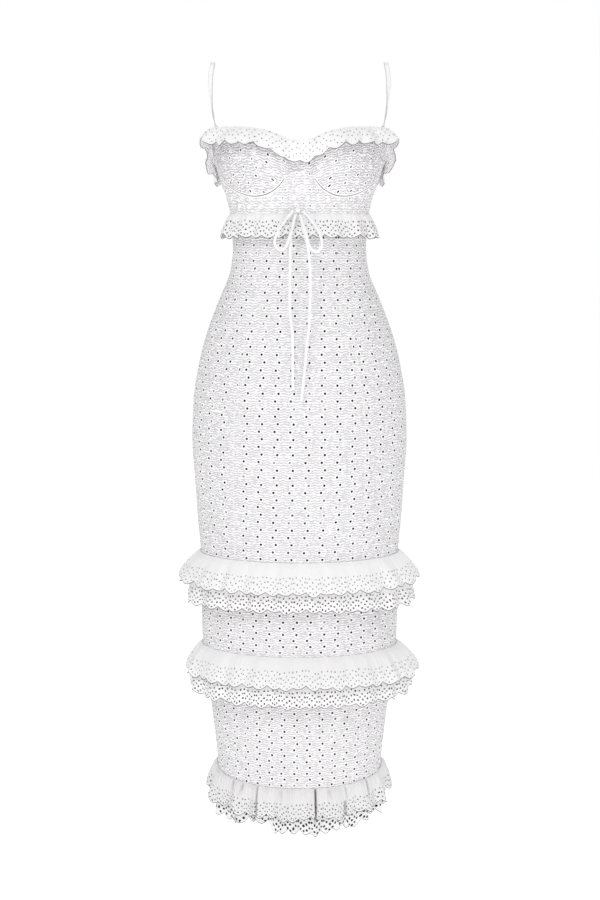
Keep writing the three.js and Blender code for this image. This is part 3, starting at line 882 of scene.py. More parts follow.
@dataclass
class Wall:
    """One layer of cloth: two faces on one grid, with what its finish needs at each point."""

    outer: Array
    inner: Array
    pattern: Array
    seam: Array
    shade: Array | None = None
    closed: bool = False

    def faces(self) -> Array:
        """Joins the two faces by a rim, so that the wall is closed.

        Returns:
            The corners of every face.
        """
        count = self.outer.shape[0] * self.outer.shape[1]
        index = np.arange(count).reshape(self.outer.shape[:2])
        if self.closed:
            index = np.hstack([index, index[:, :1]])
        front = np.stack([index[:-1, :-1], index[1:, :-1], index[1:, 1:], index[:-1, 1:]], -1).reshape(-1, 4)
        rims = [(index[0, :-1], index[0, 1:]), (index[-1, 1:], index[-1, :-1])]
        if not self.closed:
            rims += [(index[1:, 0], index[:-1, 0]), (index[:-1, -1], index[1:, -1])]
        rim = [np.stack([a, b, b + count, a + count], -1) for a, b in rims]
        return np.vstack([front, front[:, ::-1] + count, *rim])

    def mesh(self, name: str) -> bpy.types.Object:
        """Makes the wall.

        Args:
            name: The object's name.

        Returns:
            The object, with its pattern map, its distance from seams and its depth in folds.
        """
        points = np.vstack([self.outer.reshape(-1, 3), self.inner.reshape(-1, 3)]) * MM
        data = bpy.data.meshes.new(name)
        data.from_pydata(points.tolist(), [], self.faces().tolist())
        corners = np.zeros(len(data.loops), int)
        data.loops.foreach_get("vertex_index", corners)
        spread = self.pattern.reshape(-1, 2) * MM
        layer = data.uv_layers.new(name="pattern")
        layer.data.foreach_set("uv", spread[corners % len(spread)].astype(np.float32).ravel())
        for label, values in (("seam", self.seam), ("shade", self.shade)):
            if values is not None:
                layer = data.attributes.new(label, "FLOAT", "POINT")
                layer.data.foreach_set("value", np.tile(values.ravel(), 2).astype(np.float32))
        data.polygons.foreach_set("use_smooth", np.ones(len(data.polygons), bool))
        data.set_sharp_from_angle(angle=math.radians(SHARP_TURN))
        made = bpy.data.objects.new(name, data)
        bpy.context.scene.collection.objects.link(made)
        return made

    def area(self) -> float:
        """Returns the area of the outer face in square metres."""
        right, down = self.outer[:-1, 1:] - self.outer[:-1, :-1], self.outer[1:, :-1] - self.outer[:-1, :-1]
        return float(np.linalg.norm(np.cross(right, down), axis=-1).sum()) * MM * MM

    def spans(self) -> tuple[float, float]:
        """Measures the cloth along its outer face.

        Returns:
            The longest way across and the longest way down, in metres.
        """
        wide = np.linalg.norm(np.diff(self.outer, axis=1), axis=-1).sum(axis=1).max()
        tall = np.linalg.norm(np.diff(self.outer, axis=0), axis=-1).sum(axis=0).max()
        return float(wide) * MM, float(tall) * MM


def shared(finish: EyeletCloth | TrimCloth) -> bpy.types.Material:
    """Returns the finish's material, which is made once and used by every piece that has it."""
    return bpy.data.materials.get(finish.name) or finish.material()


def attach(piece: bpy.types.Object, node: str, material: bpy.types.Material) -> None:
    """Puts a finished piece in the place of its CAD node.

    Args:
        piece: The piece.
        node: The CAD node that it stands for.
        material: Its material.
    """
    piece.data.materials.append(material)
    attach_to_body(piece, "root")
    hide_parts(node)


@dataclass(frozen=True)
class Panel:
    """A panel of eyelet cloth between two upright seams and two level ones."""

    node: str
    left: Level
    right: Level
    top: Level
    bottom: Level
    held: Held
    hangs_from: tuple[str, ...]
    grain: Grain = Grain.LEVEL
    pitch_scale: float = 1.0
    lean: float = 0.0
    channel: Channel = Channel.SIDES
    finish: EyeletCloth = EYELET
    unmarked: float = 0.0
    thickness: float = 1.4
    step: float = 4.0
    # How far the eyelets are set off from the middle, in columns, and the height over which columns lean
    offset: float = 0.3
    lean_length: float = 560.0

    # The level and the mean radius at which a panel's width is measured for its mesh
    HIP = -500.0
    HIP_RADIUS = 145.0
    LEAST_ACROSS = 12
    LEAST_DOWN = 8
    SETTLING_ROUNDS = 4

    @property
    def name(self) -> str:
        """The piece's name."""
        return f"{self.node}_cloth"

    def wall(self) -> Wall:
        """Spans the cloth between the seams, which meet at points that a few rounds settle.

        Returns:
            The panel's cloth.
        """
        left, right = self.left(np.array(self.HIP)), self.right(np.array(self.HIP))
        middle = (left + right) / 2
        tall = float(self.top(middle) - self.bottom(middle))
        wide = float(np.radians(right - left)) * self.HIP_RADIUS
        across = np.linspace(0, 1, max(self.LEAST_ACROSS, round(wide / self.step)) + 1)[None, :]
        down = np.linspace(0, 1, max(self.LEAST_DOWN, round(tall / self.step)) + 1)[:, None]
        start = self.top(np.array(0.0))
        angle = self.left(start) + (self.right(start) - self.left(start)) * across + 0 * down
        z = self.top(angle) + (self.bottom(angle) - self.top(angle)) * down
        for _ in range(self.SETTLING_ROUNDS):
            inset = np.degrees(JOIN / FIGURE.front.at(z))
            first, last = self.left(z) + inset, self.right(z) - inset
            angle = first + (last - first) * across
            z = self.top(angle) + (self.bottom(angle) - self.top(angle)) * down
        folds = FIGURE.folds(angle, z)
        outer = FIGURE.point(angle, z, folds)
        inner = FIGURE.point(angle, z, folds - self.thickness)
        return Wall(outer, inner, *self.pattern(outer))

    def pattern(self, outer: Array) -> tuple[Array, Array]:
        """Lays the eyelets on the panel.

        Args:
            outer: The points of its face.

        Returns:
            The pattern map, and the distance from the nearest smooth seam.
        """
        steps = np.linalg.norm(np.diff(outer, axis=1), axis=-1)
        along = np.hstack([np.zeros((len(outer), 1)), np.cumsum(steps, axis=1)])
        total = along[:, -1:]
        level = outer[..., 2].mean(axis=1, keepdims=True)
        (pitch,) = profiles(EYELET_PITCH_ROWS)
        column = self.finish.column
        u = (along - total / 2) / (pitch.at(level) * self.pitch_scale) * column
        u = u + (self.offset + self.lean * (WAIST_SEAM - level) / self.lean_length) * column
        side = np.minimum(along, total - along)
        v = (outer[:1, :, 2] if self.grain is Grain.TOP_EDGE else WAIST_SEAM) - outer[..., 2]
        if self.channel is not Channel.SIDES:
            edge = outer[-1:] if self.channel is Channel.BOTTOM else outer[:1]
            side = np.abs(outer[..., 2] - edge[..., 2])
            side = side + np.clip(self.unmarked - np.abs(outer[..., 0]), 0, None)
        return np.stack([u, v], axis=-1), side

    def build(self) -> bpy.types.Object:
        """Makes the panel, puts it in its node's place and logs the size of its cloth.

        Returns:
            The panel.
        """
        wall = self.wall()
        made = wall.mesh(self.name)
        attach(made, self.node, shared(self.finish))
        flat = wall.spans()
        area = min(wall.area(), flat[0] * flat[1])
        log.info("%s: %.3f x %.3f m of eyelet cloth, %.4f square metres", self.name, *flat, area)
        return made


@dataclass(frozen=True)
class Pleat:
    """A narrow fold in a ruffle: its angle, half width, depth, and the stretch that it runs."""

    angle: float
    width: float
    depth: float
    top: float = 0.0
    end: float = 1.0
    slant: float = 0.0

    START_FADE = 0.08
    END_FADE = 0.28

    def share(self, angle: Array, down: Array, widths: float = 1.0) -> Array:
        """Tells how much of the pleat's depth is reached.

        Args:
            angle: Angle round the dress.
            down: Share of the way down the ruffle.
            widths: How many of its half widths it spreads over.

        Returns:
            1 in the pleat's line, falling to 0 beside it and past its ends.
        """
        aside = (angle - self.angle - self.slant * (down - 0.5)) / (self.width * widths)
        start = np.clip((down - self.top) / self.START_FADE, 0, 1)
        finish = np.clip((self.end + self.END_FADE / 2 - down) / self.END_FADE, 0, 1)
        return np.exp(-(aside**2)) * start * finish


@dataclass(frozen=True)
class Ruffle:
    """One stretch of gathered trim below a seam.

    It stands off the dress by its layer, flares towards its edge, and swings in and out in waves. Its
    edge is scalloped, each scallop may have picots, and small tucks gather it at the seam.
    """

    node: str
    start: float
    end: float
    level: Level
    drop: Level
    flare: Level
    layer: int
    extra_lift: float
    scallops: int
    waves: float
    swing: float
    finish: TrimCloth
    hangs_from: tuple[str, ...]
    seed: int
    scallop_depth: float
    gathers: float = 0.5
    fullness: float = 0.3
    ragged: float = 2.0
    depth_change: float = 0.22
    picot: float = 0.0
    picots: int = 5
    tucks: float = 2.3
    tuck_drift: float = 0.8
    tuck_fade: float = 1.6
    pleats: tuple[Pleat, ...] = ()
    pleat_lift: float = 0.7
    pleat_spread: float = 2.4
    pleat_shade: float = 0.75
    full_shade_depth: float = 10.0
    thickness: float = 1.2
    sewn_thickness: float = 0.5
    sewn_lift: float = 0.8
    edge_curl: float = 1.3
    edge_cupping: float = 0.9
    wave_growth: float = 0.8
    second_wave: float = 0.18
    wave_drift: float = 0.8
    overlap: float = 0.7
    grain: int = 14
    rows: int = 20
    row_growth: float = 0.9

    # The strip's length is measured by samples of a ring this far below its seam
    SEAM_SAMPLES = 241
    MEASURED_BELOW = 20
    # Columns across a pleat, and how many of its half widths they reach to each side
    PLEAT_COLUMNS = 13
    PLEAT_REACH = 1.6
    # Shares of the way down at which the ruffle is clear of the seam, thick, and fully tucked
    CLEAR_OF_SEAM = 0.12
    FULL_THICKNESS = 0.2
    FULL_TUCKS = 0.05
    # How often the irregular parts swing along the strip, and what sets their waves apart
    RAGGED_TURNS, DEPTH_TURNS, SWING_TURNS, TUCK_TURNS, DRIFTS = 9, 8, 6, 11, 7
    DEPTH_SEED, SWING_SEED, TUCK_SEED = 7, 3, 5
    CUPPING_POWER = 5

    @property
    def name(self) -> str:
        """The piece's name."""
        return f"{self.node}_trim"

    def columns(self) -> tuple[Array, Array]:
        """Spaces the columns of the mesh evenly along the seam, and closer at each pleat.

        Returns:
            The share of the way along at each column, and its angle.
        """
        angle = np.linspace(self.start, self.end, self.SEAM_SAMPLES)
        middle = float(self.level(np.array((self.start + self.end) / 2))) - self.MEASURED_BELOW
        ring = FIGURE.point(angle, np.full_like(angle, middle), 0.0)
        length = np.concatenate([[0], np.cumsum(np.linalg.norm(np.diff(ring, axis=0), axis=1))])
        length /= length[-1]
        stretch = np.linspace(-self.PLEAT_REACH, self.PLEAT_REACH, self.PLEAT_COLUMNS)
        near = [pleat.angle + (pleat.width + abs(pleat.slant) / 3) * stretch for pleat in self.pleats]
        extra = [np.interp(stops, angle, length) for stops in near]
        even = np.linspace(0, 1, self.scallops * self.grain + 1)
        across = np.unique(np.concatenate([even, *extra]))[None, :]
        return across, np.interp(across, length, angle)

    def arch(self, across: Array) -> Array:
        """Returns 1 at the middle of each scallop and 0 where two meet."""
        return np.abs(np.sin(math.pi * (across * self.scallops)))

    def away_from_ends(self, across: Array) -> Array:
        """Returns 1 all along but for the first and last scallop, where it falls to 0 at the side seam."""
        return np.minimum(1, np.minimum(across, 1 - across) * self.scallops)

    def edge(self, across: Array, angle: Array) -> tuple[Array, Array]:
        """Shapes the lower edge: ragged, scalloped, with picots, and drawn up by the pleats.

        Args:
            across: Share of the way along.
            angle: Angle round the dress.

        Returns:
            How far below the seam the scallops' lowest points and the edge itself hang.
        """
        ends = self.away_from_ends(across)
        drop = self.drop(angle) + self.ragged * uneven(across, self.seed, self.RAGGED_TURNS) * ends
        changing = uneven(across, self.seed + self.DEPTH_SEED, self.DEPTH_TURNS)
        depth = self.scallop_depth * (1 + self.depth_change * changing * ends)
        tucked = 0 * angle
        for pleat in self.pleats:
            tucked = tucked + pleat.share(angle, 1.0, self.pleat_spread) * pleat.depth
        edge = drop - depth * (1 - self.arch(across)) - self.pleat_lift * tucked
        points = np.abs(np.sin(self.picots * math.pi * (across * self.scallops)))
        return drop, edge - self.picot * (1 - points)

    def stand_off(self, across: Array, angle: Array, down: Array) -> Array:
        """Lifts, flares, waves and gathers the ruffle.

        Args:
            across: Share of the way along.
            angle: Angle round the dress.
            down: Share of the way down.

        Returns:
            How far it stands off the dress, before it is pleated.
        """
        ends = self.away_from_ends(across)
        full = (self.layer + 1) * (GAP + self.thickness) + self.extra_lift
        near = self.sewn_lift * (self.layer + 1)
        out = near + (full - near) * np.minimum(1, down / self.CLEAR_OF_SEAM)
        out = out + self.flare(angle) * (1 - (1 - down) ** self.edge_curl)
        phase = 2 * math.pi * self.waves * across + self.wave_drift * np.sin(self.DRIFTS * math.pi * across)
        changing = uneven(across, self.seed + self.SWING_SEED, self.SWING_TURNS)
        size = self.swing * (1 + self.fullness * changing * ends)
        wave = np.cos(phase) + self.second_wave * np.cos(2 * phase + self.seed) * ends
        cupped = self.edge_cupping * down**self.CUPPING_POWER * (self.arch(across) - 0.5)
        out = out + size * down**self.wave_growth * wave + cupped
        changing = uneven(across, self.seed + self.TUCK_SEED, self.TUCK_TURNS)
        tuck = np.sin(2 * math.pi * (self.tucks * (across * self.scallops) + self.tuck_drift * changing))
        started = np.minimum(1, down / self.FULL_TUCKS)
        return out + self.gathers * tuck * (1 - down) ** self.tuck_fade * started

    def wall(self) -> Wall:
        """Hangs the ruffle from its seam, with its pleats pressed in.

        Returns:
            The ruffle's cloth.
        """
        across, angle = self.columns()
        down = np.linspace(0, 1, self.rows + 1)[:, None] ** self.row_growth
        drop, edge = self.edge(across, angle)
        out = self.stand_off(across, angle, down)
        shade = 0 * out
        for pleat in self.pleats:
            out = out - pleat.depth * pleat.share(angle, down)
            shade = shade + pleat.share(angle, down, self.pleat_shade) * (pleat.depth / self.full_shade_depth)
        z = self.level(angle) + self.overlap - (edge + self.overlap) * down
        outer = FIGURE.point(angle + 0 * down, z, out)
        normal = np.cross(np.gradient(outer, axis=0), np.gradient(outer, axis=1))
        normal /= np.linalg.norm(normal, axis=-1, keepdims=True)
        grown = np.minimum(1, down / self.FULL_THICKNESS)[..., None]
        thick = self.sewn_thickness + (self.thickness - self.sewn_thickness) * grown
        pattern = np.stack([across * self.scallops * self.finish.scallop + 0 * down, drop - edge * down], -1)
        return Wall(outer, outer - normal * thick, pattern, edge * (1 - down), np.clip(shade, 0, 1))

    def build(self) -> bpy.types.Object:
        """Makes the ruffle, puts it in its node's place and logs the size of its cloth.

        Returns:
            The ruffle.
        """
        wall = self.wall()
        made = wall.mesh(self.name)
        attach(made, self.node, shared(self.finish))
        flat, area = wall.spans(), wall.area()
        log.info("%s: %.3f x %.3f m of trim, %.4f square metres, gathered", self.name, *flat, area)
        return made


def always(value: float) -> Level:
    """Returns a level or angle that is the same everywhere."""
    return lambda at: np.asarray(at) * 0 + value


def above(seam: Level) -> Level:
    """Returns the level just above a seam."""
    return lambda angle: seam(angle) + GAP / 2


def below(seam: Level) -> Level:
    """Returns the level just below a seam."""
    return lambda angle: seam(angle) - GAP / 2


@dataclass(frozen=True)
class Bodice:
    """Two cups, the band below them, two sides and a low back."""

    cup_pitch: float = 1.06
    bridge: float = 24.0

    def mesh(self) -> list[Panel]:
        """Lists the panels, each between its seams.

        Returns:
            The bodice's panels.
        """
        wired = {"held": Held.STRETCHED, "unmarked": self.bridge}
        cup = {"top": FIGURE.neckline, "bottom": above(FIGURE.cup_seam), "pitch_scale": self.cup_pitch,
               "finish": CUP_EYELET, "grain": Grain.TOP_EDGE, "channel": Channel.BOTTOM, "step": 2.5, **wired}
        band = {"top": below(FIGURE.cup_seam), "bottom": above(always(WAIST_SEAM)),
                "finish": BAND_EYELET, "channel": Channel.TOP, "step": 2.0, **wired}
        plain = {"top": FIGURE.neckline, "bottom": above(always(WAIST_SEAM)), "held": Held.STRETCHED}
        back_left = 360 - BODICE_BACK
        return [
            Panel("cup_left", always(-CUP_SIDE), always(0), hangs_from=("strap_left_tape",), **cup),
            Panel("cup_right", always(0), always(CUP_SIDE), hangs_from=("strap_right_tape",), **cup),
            Panel("bodice_band", always(-CUP_SIDE), always(CUP_SIDE),
                  hangs_from=("cup_left_cloth", "cup_right_cloth"), **band),
            Panel("bodice_side_left", always(-BODICE_BACK), always(-CUP_SIDE),
                  hangs_from=("cup_left_cloth",), **plain),
            Panel("bodice_side_right", always(CUP_SIDE), always(BODICE_BACK),
                  hangs_from=("cup_right_cloth",), **plain),
            Panel("bodice_back_left", always(180), always(back_left),
                  hangs_from=("strap_left_tape",), **plain),
            Panel("bodice_back_right", always(BODICE_BACK), always(180),
                  hangs_from=("strap_right_tape",), **plain),
        ]

    def dress(self) -> list[bpy.types.Object]:
        """Builds every panel in its cloth."""
        return [panel.build() for panel in self.mesh()]


@dataclass(frozen=True)
class Skirt:
    """Five fitted panels down to the first tier, and a front and a back for each stretch below."""

    lean: float = 0.3

    def mesh(self) -> list[Panel]:
        """Lists the panels, each between its seams.

        Returns:
            The skirt's panels.
        """
        princess = FIGURE.princess.at
        fitted = {"top": below(always(WAIST_SEAM)), "bottom": above(always(TIER_1_SEAM)), "held": Held.HUNG}
        middle = {"top": below(always(TIER_1_SEAM)), "bottom": above(always(TIER_2_SEAM)), "held": Held.HUNG}
        lower = {"top": below(always(TIER_2_SEAM)), "bottom": above(FIGURE.hem_seam), "held": Held.HUNG}
        front = {"left": always(-SIDE_SEAM), "right": always(SIDE_SEAM)}
        back = {"left": always(SIDE_SEAM), "right": always(BACK_SEAM)}
        halves = (("front", front), ("back", back))
        return [
            Panel("skirt_front", lambda z: -princess(z), princess,
                  hangs_from=("bodice_band_cloth",), lean=self.lean, **fitted),
            Panel("skirt_side_left", always(-SIDE_SEAM), lambda z: -princess(z),
                  hangs_from=("bodice_band_cloth",), **fitted),
            Panel("skirt_side_right", princess, always(SIDE_SEAM),
                  hangs_from=("bodice_band_cloth",), **fitted),
            Panel("skirt_back_left", always(180), always(BACK_SEAM),
                  hangs_from=("bodice_back_left_cloth",), **fitted),
            Panel("skirt_back_right", always(SIDE_SEAM), always(180),
                  hangs_from=("bodice_back_right_cloth",), **fitted),
            *(Panel(f"skirt_middle_{half}", hangs_from=("skirt_front_cloth",), finish=LOWER_EYELET,
                    **sides, **middle) for half, sides in halves),
            *(Panel(f"skirt_lower_{half}", hangs_from=(f"skirt_middle_{half}_cloth",), finish=LOWER_EYELET,
                    **sides, **lower) for half, sides in halves),
        ]

    def dress(self) -> list[bpy.types.Object]:
        """Builds every panel in its cloth."""
        return [panel.build() for panel in self.mesh()]


@dataclass(frozen=True)
class RuffleSeam:
    """A seam that carries ruffles all round, and how they are scalloped and waved."""

    level: Level
    scallops: int
    waves: int
    depth: float
    swing: float
    hangs_from: str


@dataclass(frozen=True)
class RuffleRow:
    """A ruffle that goes right round the dress, as a front and a back strip."""

    name: str
    seam: RuffleSeam
    layer: int
    drop: float
    side: float
    flare: float
    lean: float
    finish: TrimCloth
    seed: int
    gathers: float = 0.5
    fullness: float = 0.35
    ragged: float = 2.0
    picot: float = 0.0
    tucks: float = 2.3
    pleats: tuple[Pleat, ...] = ()
    rise: Level = always(0.0)


# Angle, half width, depth, the stretch from top to end as shares of the drop, and slant
HEM_PLEATS = (
    Pleat(-78, 1.5, 4, 0.1, 1, 3),
    Pleat(-50, 1.2, 4, 0, 0.35, 4),
    Pleat(-44, 1.3, 3.5, 0.02, 0.3, -5),
    Pleat(-29, 0.8, 6, 0, 1, 1.5),
    Pleat(-12, 1.4, 2.5, 0.02, 0.3, 1),
    Pleat(10.5, 0.7, 10, 0, 1, -0.4),
    Pleat(21, 1.5, 3, 0.02, 0.25, 2),
    Pleat(32, 1.4, 6, 0.5, 1, -1.5),
    Pleat(34, 1.1, 3.5, 0, 0.4, 3),
    Pleat(52, 1.2, 5.5, 0, 0.45, -3),
    Pleat(79, 1.5, 4, 0.1, 1, -3),
    Pleat(112, 1.2, 5, 0, 0.5, 3),
    Pleat(134, 0.9, 6, 0, 1, -1),
    Pleat(151, 1.3, 3.5, 0.02, 0.35, 3),
    Pleat(169, 1.4, 6, 0.45, 1, 1.5),
    Pleat(186, 1.3, 3, 0.02, 0.3, -2),
    Pleat(201, 0.8, 9, 0, 1, 0.5),
    Pleat(222, 1.2, 4.5, 0, 0.4, 4),
    Pleat(249, 1.2, 5, 0, 1, -2),
)
# Drops of the under and the upper ruffle of the hem
HEM_DROPS = (80.0, 51.0)
# The under ruffle gives way behind the upper one's pleats, at the same heights and a little wider
UNDER_SHARE = HEM_DROPS[1] / HEM_DROPS[0]
UNDER_WIDTH = 1.25
UNDER_PLEATS = tuple(
    replace(
        pleat,
        angle=pleat.angle + pleat.slant * (0.5 / UNDER_SHARE - 0.5),
        width=pleat.width * UNDER_WIDTH,
        top=pleat.top * UNDER_SHARE,
        end=pleat.end * UNDER_SHARE,
        slant=pleat.slant / UNDER_SHARE,
    )
    for pleat in HEM_PLEATS
)
# Level, scallops, waves, scallop depth and swing, and what carries the ruffles
WAIST = RuffleSeam(always(WAIST_SEAM), 36, 18, 5.5, 4, "bodice_band_cloth")
TIER_1 = RuffleSeam(always(TIER_1_SEAM), 46, 22, 5.2, 4, "skirt_front_cloth")
TIER_2 = RuffleSeam(always(TIER_2_SEAM), 46, 22, 5.2, 4, "skirt_middle_front_cloth")
HEM = RuffleSeam(FIGURE.hem_seam, 44, 18, 7, 6.5, "skirt_lower_front_cloth")
(HEM_RISE,) = profiles(HEM_RISE_ROWS)
# Name, seam, layer, drop in front, more of it at the sides, flare, how it leans to one side, trim and seed
ROUND_RUFFLES = (
    RuffleRow("waist_ruffle", WAIST, 0, 39, 0, 16, 0, TRIM_WAIST, 1, gathers=1.3, fullness=0.5, ragged=2.2),
    RuffleRow("tier_1_under", TIER_1, 0, 79, 7, 24, 3, TRIM_UNDER, 2),
    RuffleRow("tier_1_upper", TIER_1, 1, 47, 0, 33, -1, TRIM_ON_CLOTH, 3),
    RuffleRow("tier_2_under", TIER_2, 0, 79, 0, 31, 3, TRIM_UNDER, 4),
    RuffleRow("tier_2_upper", TIER_2, 1, 45, 4, 34, 5, TRIM_ON_CLOTH, 5),
    RuffleRow("hem_under", HEM, 0, HEM_DROPS[0], 0, 5, 0, TRIM_HEM, 6,
              fullness=0.3, ragged=1.5, picot=1.0, pleats=UNDER_PLEATS, rise=HEM_RISE.at),
    RuffleRow("hem_upper", HEM, 1, HEM_DROPS[1], 0, 14, -1, TRIM_OVER_HEM, 7,
              gathers=1.5, fullness=0.3, ragged=2.5, picot=0.6, tucks=3.4, pleats=HEM_PLEATS),
)


@dataclass(frozen=True)
class Ruffles:
    """The neckline ruffle and the ruffles that go right round."""

    inset: float = 0.12
    corner_inset: float = 0.15
    layer_lift: float = 0.4
    back_seed: int = 11

    def mesh(self) -> list[Ruffle]:
        """Returns every stretch of ruffle."""
        made = [strip for row in ROUND_RUFFLES for strip in self.row(row)]
        return made + self.neck()

    def row(self, row: RuffleRow) -> list[Ruffle]:
        """Cuts one ruffle at the side seams.

        Args:
            row: The ruffle that goes right round.

        Returns:
            Its front and its back strip.
        """
        seam = row.seam
        ends = {"front": (-SIDE_SEAM, SIDE_SEAM), "back": (SIDE_SEAM, BACK_SEAM)}
        return [
            Ruffle(
                node=f"{row.name}_{half}",
                start=start + self.inset,
                end=end - self.inset,
                level=seam.level,
                drop=lambda angle: row.drop + row.side * np.sin(np.radians(angle)) ** 2 - row.rise(angle),
                flare=lambda angle: row.flare + row.lean * np.sin(np.radians(angle)),
                layer=row.layer,
                extra_lift=self.layer_lift * row.layer,
                scallops=seam.scallops // 2,
                waves=seam.waves / 2,
                swing=seam.swing,
                finish=row.finish,
                hangs_from=(seam.hangs_from,),
                seed=row.seed + self.back_seed * (half == "back"),
                scallop_depth=seam.depth,
                gathers=row.gathers,
                fullness=row.fullness,
                ragged=row.ragged,
                picot=row.picot,
                tucks=row.tucks,
                pleats=tuple(p for p in row.pleats if start < p.angle < end),
            )
            for half, (start, end) in ends.items()
        ]

    def neck(self) -> list[Ruffle]:
        """Lays the neckline's ruffle from strap to strap, in front and behind.

        Returns:
            Its two stretches.
        """
        drops, flares = profiles(NECK_RUFFLE_ROWS)

        def folded(curve: Profile) -> Level:
            """Returns a curve that is the same on the left as on the right."""
            return lambda angle: curve.at(np.where(angle % 360 > 180, 360 - angle % 360, angle % 360))

        both = {"level": FIGURE.neckline, "drop": folded(drops), "flare": folded(flares), "layer": 0,
                "extra_lift": 0.9, "gathers": 0.6}
        corner = STRAP_CORNER - self.corner_inset
        return [
            Ruffle(node="neck_ruffle_front", start=-corner, end=corner, scallops=14, waves=7, swing=3.5,
                   scallop_depth=4.5, seed=8, finish=TRIM_NECK,
                   hangs_from=("cup_left_cloth", "cup_right_cloth"), **both),
            Ruffle(node="neck_ruffle_back", start=STRAP_CORNER + self.corner_inset,
                   end=360 - STRAP_CORNER - self.corner_inset, scallops=28, waves=13, swing=5,
                   scallop_depth=6, seed=9, picot=1.8, picots=3, finish=TRIM_NECK_BACK,
                   hangs_from=("bodice_back_left_cloth", "bodice_back_right_cloth"), **both),
        ]

    def dress(self) -> list[bpy.types.Object]:
        """Builds every stretch in its trim."""
        return [strip.build() for strip in self.mesh()]


@dataclass(frozen=True)
class StrapStop:
    """One stop of the left strap; turn is between its broad side and the shoulder line."""

    x: float
    y: float
    z: float
    turn: float


@dataclass(frozen=True)
class Straps:
    """Two flat straps of turned tube, sewn inside the bodice at both ends."""

    width: float = 7.6
    depth: float = 1.6
    tube_wall: float = 0.6
    sewn: float = 11.0
    front_angle: float = 59.4
    front_turn: float = -48.0
    back_angle: float = 114.0
    back_turn: float = 54.0
    # The bodice's wall, a gap and half the strap's own depth
    inside: float = 1.4 + 0.9 + 0.8
    section_points: int = 20
    # Powers that square the oval: the lower, the squarer
    wide_power: float = 0.6
    thin_power: float = 0.45
    steps: int = 8
    route: tuple[StrapStop, ...] = (
        StrapStop(-135.6, -46.5, -104, -84),
        StrapStop(-140.2, -41.5, -88, -84),
        StrapStop(-142.6, -31, -63, -72),
        StrapStop(-144.8, -20, -37, -14),
        StrapStop(-144, -11, -18, -10),
        StrapStop(-142, -4, -4.5, -6),
        StrapStop(-141.5, 3, -0.8, 0),
        StrapStop(-142.5, 9.5, -5, 6),
        StrapStop(-146, 17, -24, 26),
        StrapStop(-145.6, 28, -60, 80),
        StrapStop(-141, 35, -98, 86),
        StrapStop(-135, 37, -138, 48),
    )

    def sewn_end(self, angle: float, turn: float) -> list[StrapStop]:
        """Places an end that lies inside the bodice.

        Args:
            angle: Angle round the dress where it is sewn.
            turn: The strap's turn there.

        Returns:
            Its two stops, from the bodice's edge down.
        """
        level = float(FIGURE.neckline(np.array(angle)))
        stops = []
        for z in (level, level - self.sewn):
            place = FIGURE.point(np.array(-angle), np.array(z), -self.inside)
            stops.append(StrapStop(*(float(value) for value in place), turn))
        return stops

    def section(self, shrink: float) -> Array:
        """Draws the strap's section.

        Args:
            shrink: How much smaller it is all round.

        Returns:
            The points of a flat squarish oval.
        """
        turn = np.linspace(0, 2 * math.pi, self.section_points, endpoint=False)
        half, thin = self.width / 2 - shrink, self.depth / 2 - shrink
        wide = np.sign(np.cos(turn)) * np.abs(np.cos(turn)) ** self.wide_power * half
        thick = np.sign(np.sin(turn)) * np.abs(np.sin(turn)) ** self.thin_power * thin
        return np.stack([wide, thick], -1)

    def mesh(self, name: str, side: int) -> tuple[bpy.types.Object, float]:
        """Makes one strap.

        Args:
            name: The object's name.
            side: -1 for the left strap and 1 for the right one.

        Returns:
            The object and the strap's length in metres.
        """
        stops = [
            *reversed(self.sewn_end(self.front_angle, self.front_turn)),
            *self.route,
            *self.sewn_end(self.back_angle, self.back_turn),
        ]
        line = smooth_route([(-side * stop.x, stop.y, stop.z) for stop in stops], self.steps)
        turn = np.radians(np.interp(np.linspace(0, len(stops) - 1, len(line)), range(len(stops)),
                                    [stop.turn for stop in stops]))
        along = np.gradient(line, axis=0)
        along /= np.linalg.norm(along, axis=1, keepdims=True)
        broad = np.stack([-side * np.cos(turn), np.sin(turn), 0 * turn], -1)
        broad -= along * (broad * along).sum(axis=1, keepdims=True)
        broad /= np.linalg.norm(broad, axis=1, keepdims=True)
        face = np.cross(along, broad)
        length = np.concatenate([[0], np.cumsum(np.linalg.norm(np.diff(line, axis=0), axis=1))])
        rings = []
        for shrink in (0.0, self.tube_wall):
            w, t = self.section(shrink).T
            rings.append(line[:, None] + broad[:, None] * w[None, :, None] + face[:, None] * t[None, :, None])
        across = np.broadcast_to(self.section(0.0)[:, 0], rings[0].shape[:2])
        pattern = np.stack([across, np.broadcast_to(length[:, None], rings[0].shape[:2])], -1)
        if side > 0:
            rings = [ring[:, ::-1] for ring in rings]
            pattern = pattern[:, ::-1]
        wall = Wall(rings[0][:, ::-1], rings[1][:, ::-1], pattern[:, ::-1], 0 * across, closed=True)
        return wall.mesh(name), float(length[-1]) * MM

    def dress(self) -> list[bpy.types.Object]:
        """Builds both straps in tape.

        Returns:
            The straps.
        """
        made = []
        material = TAPE.material()
        for label, side in (("left", -1), ("right", 1)):
            strap, length = self.mesh(f"strap_{label}_tape", side)
            attach(strap, f"strap_{label}", material)
            made.append(strap)
        return made


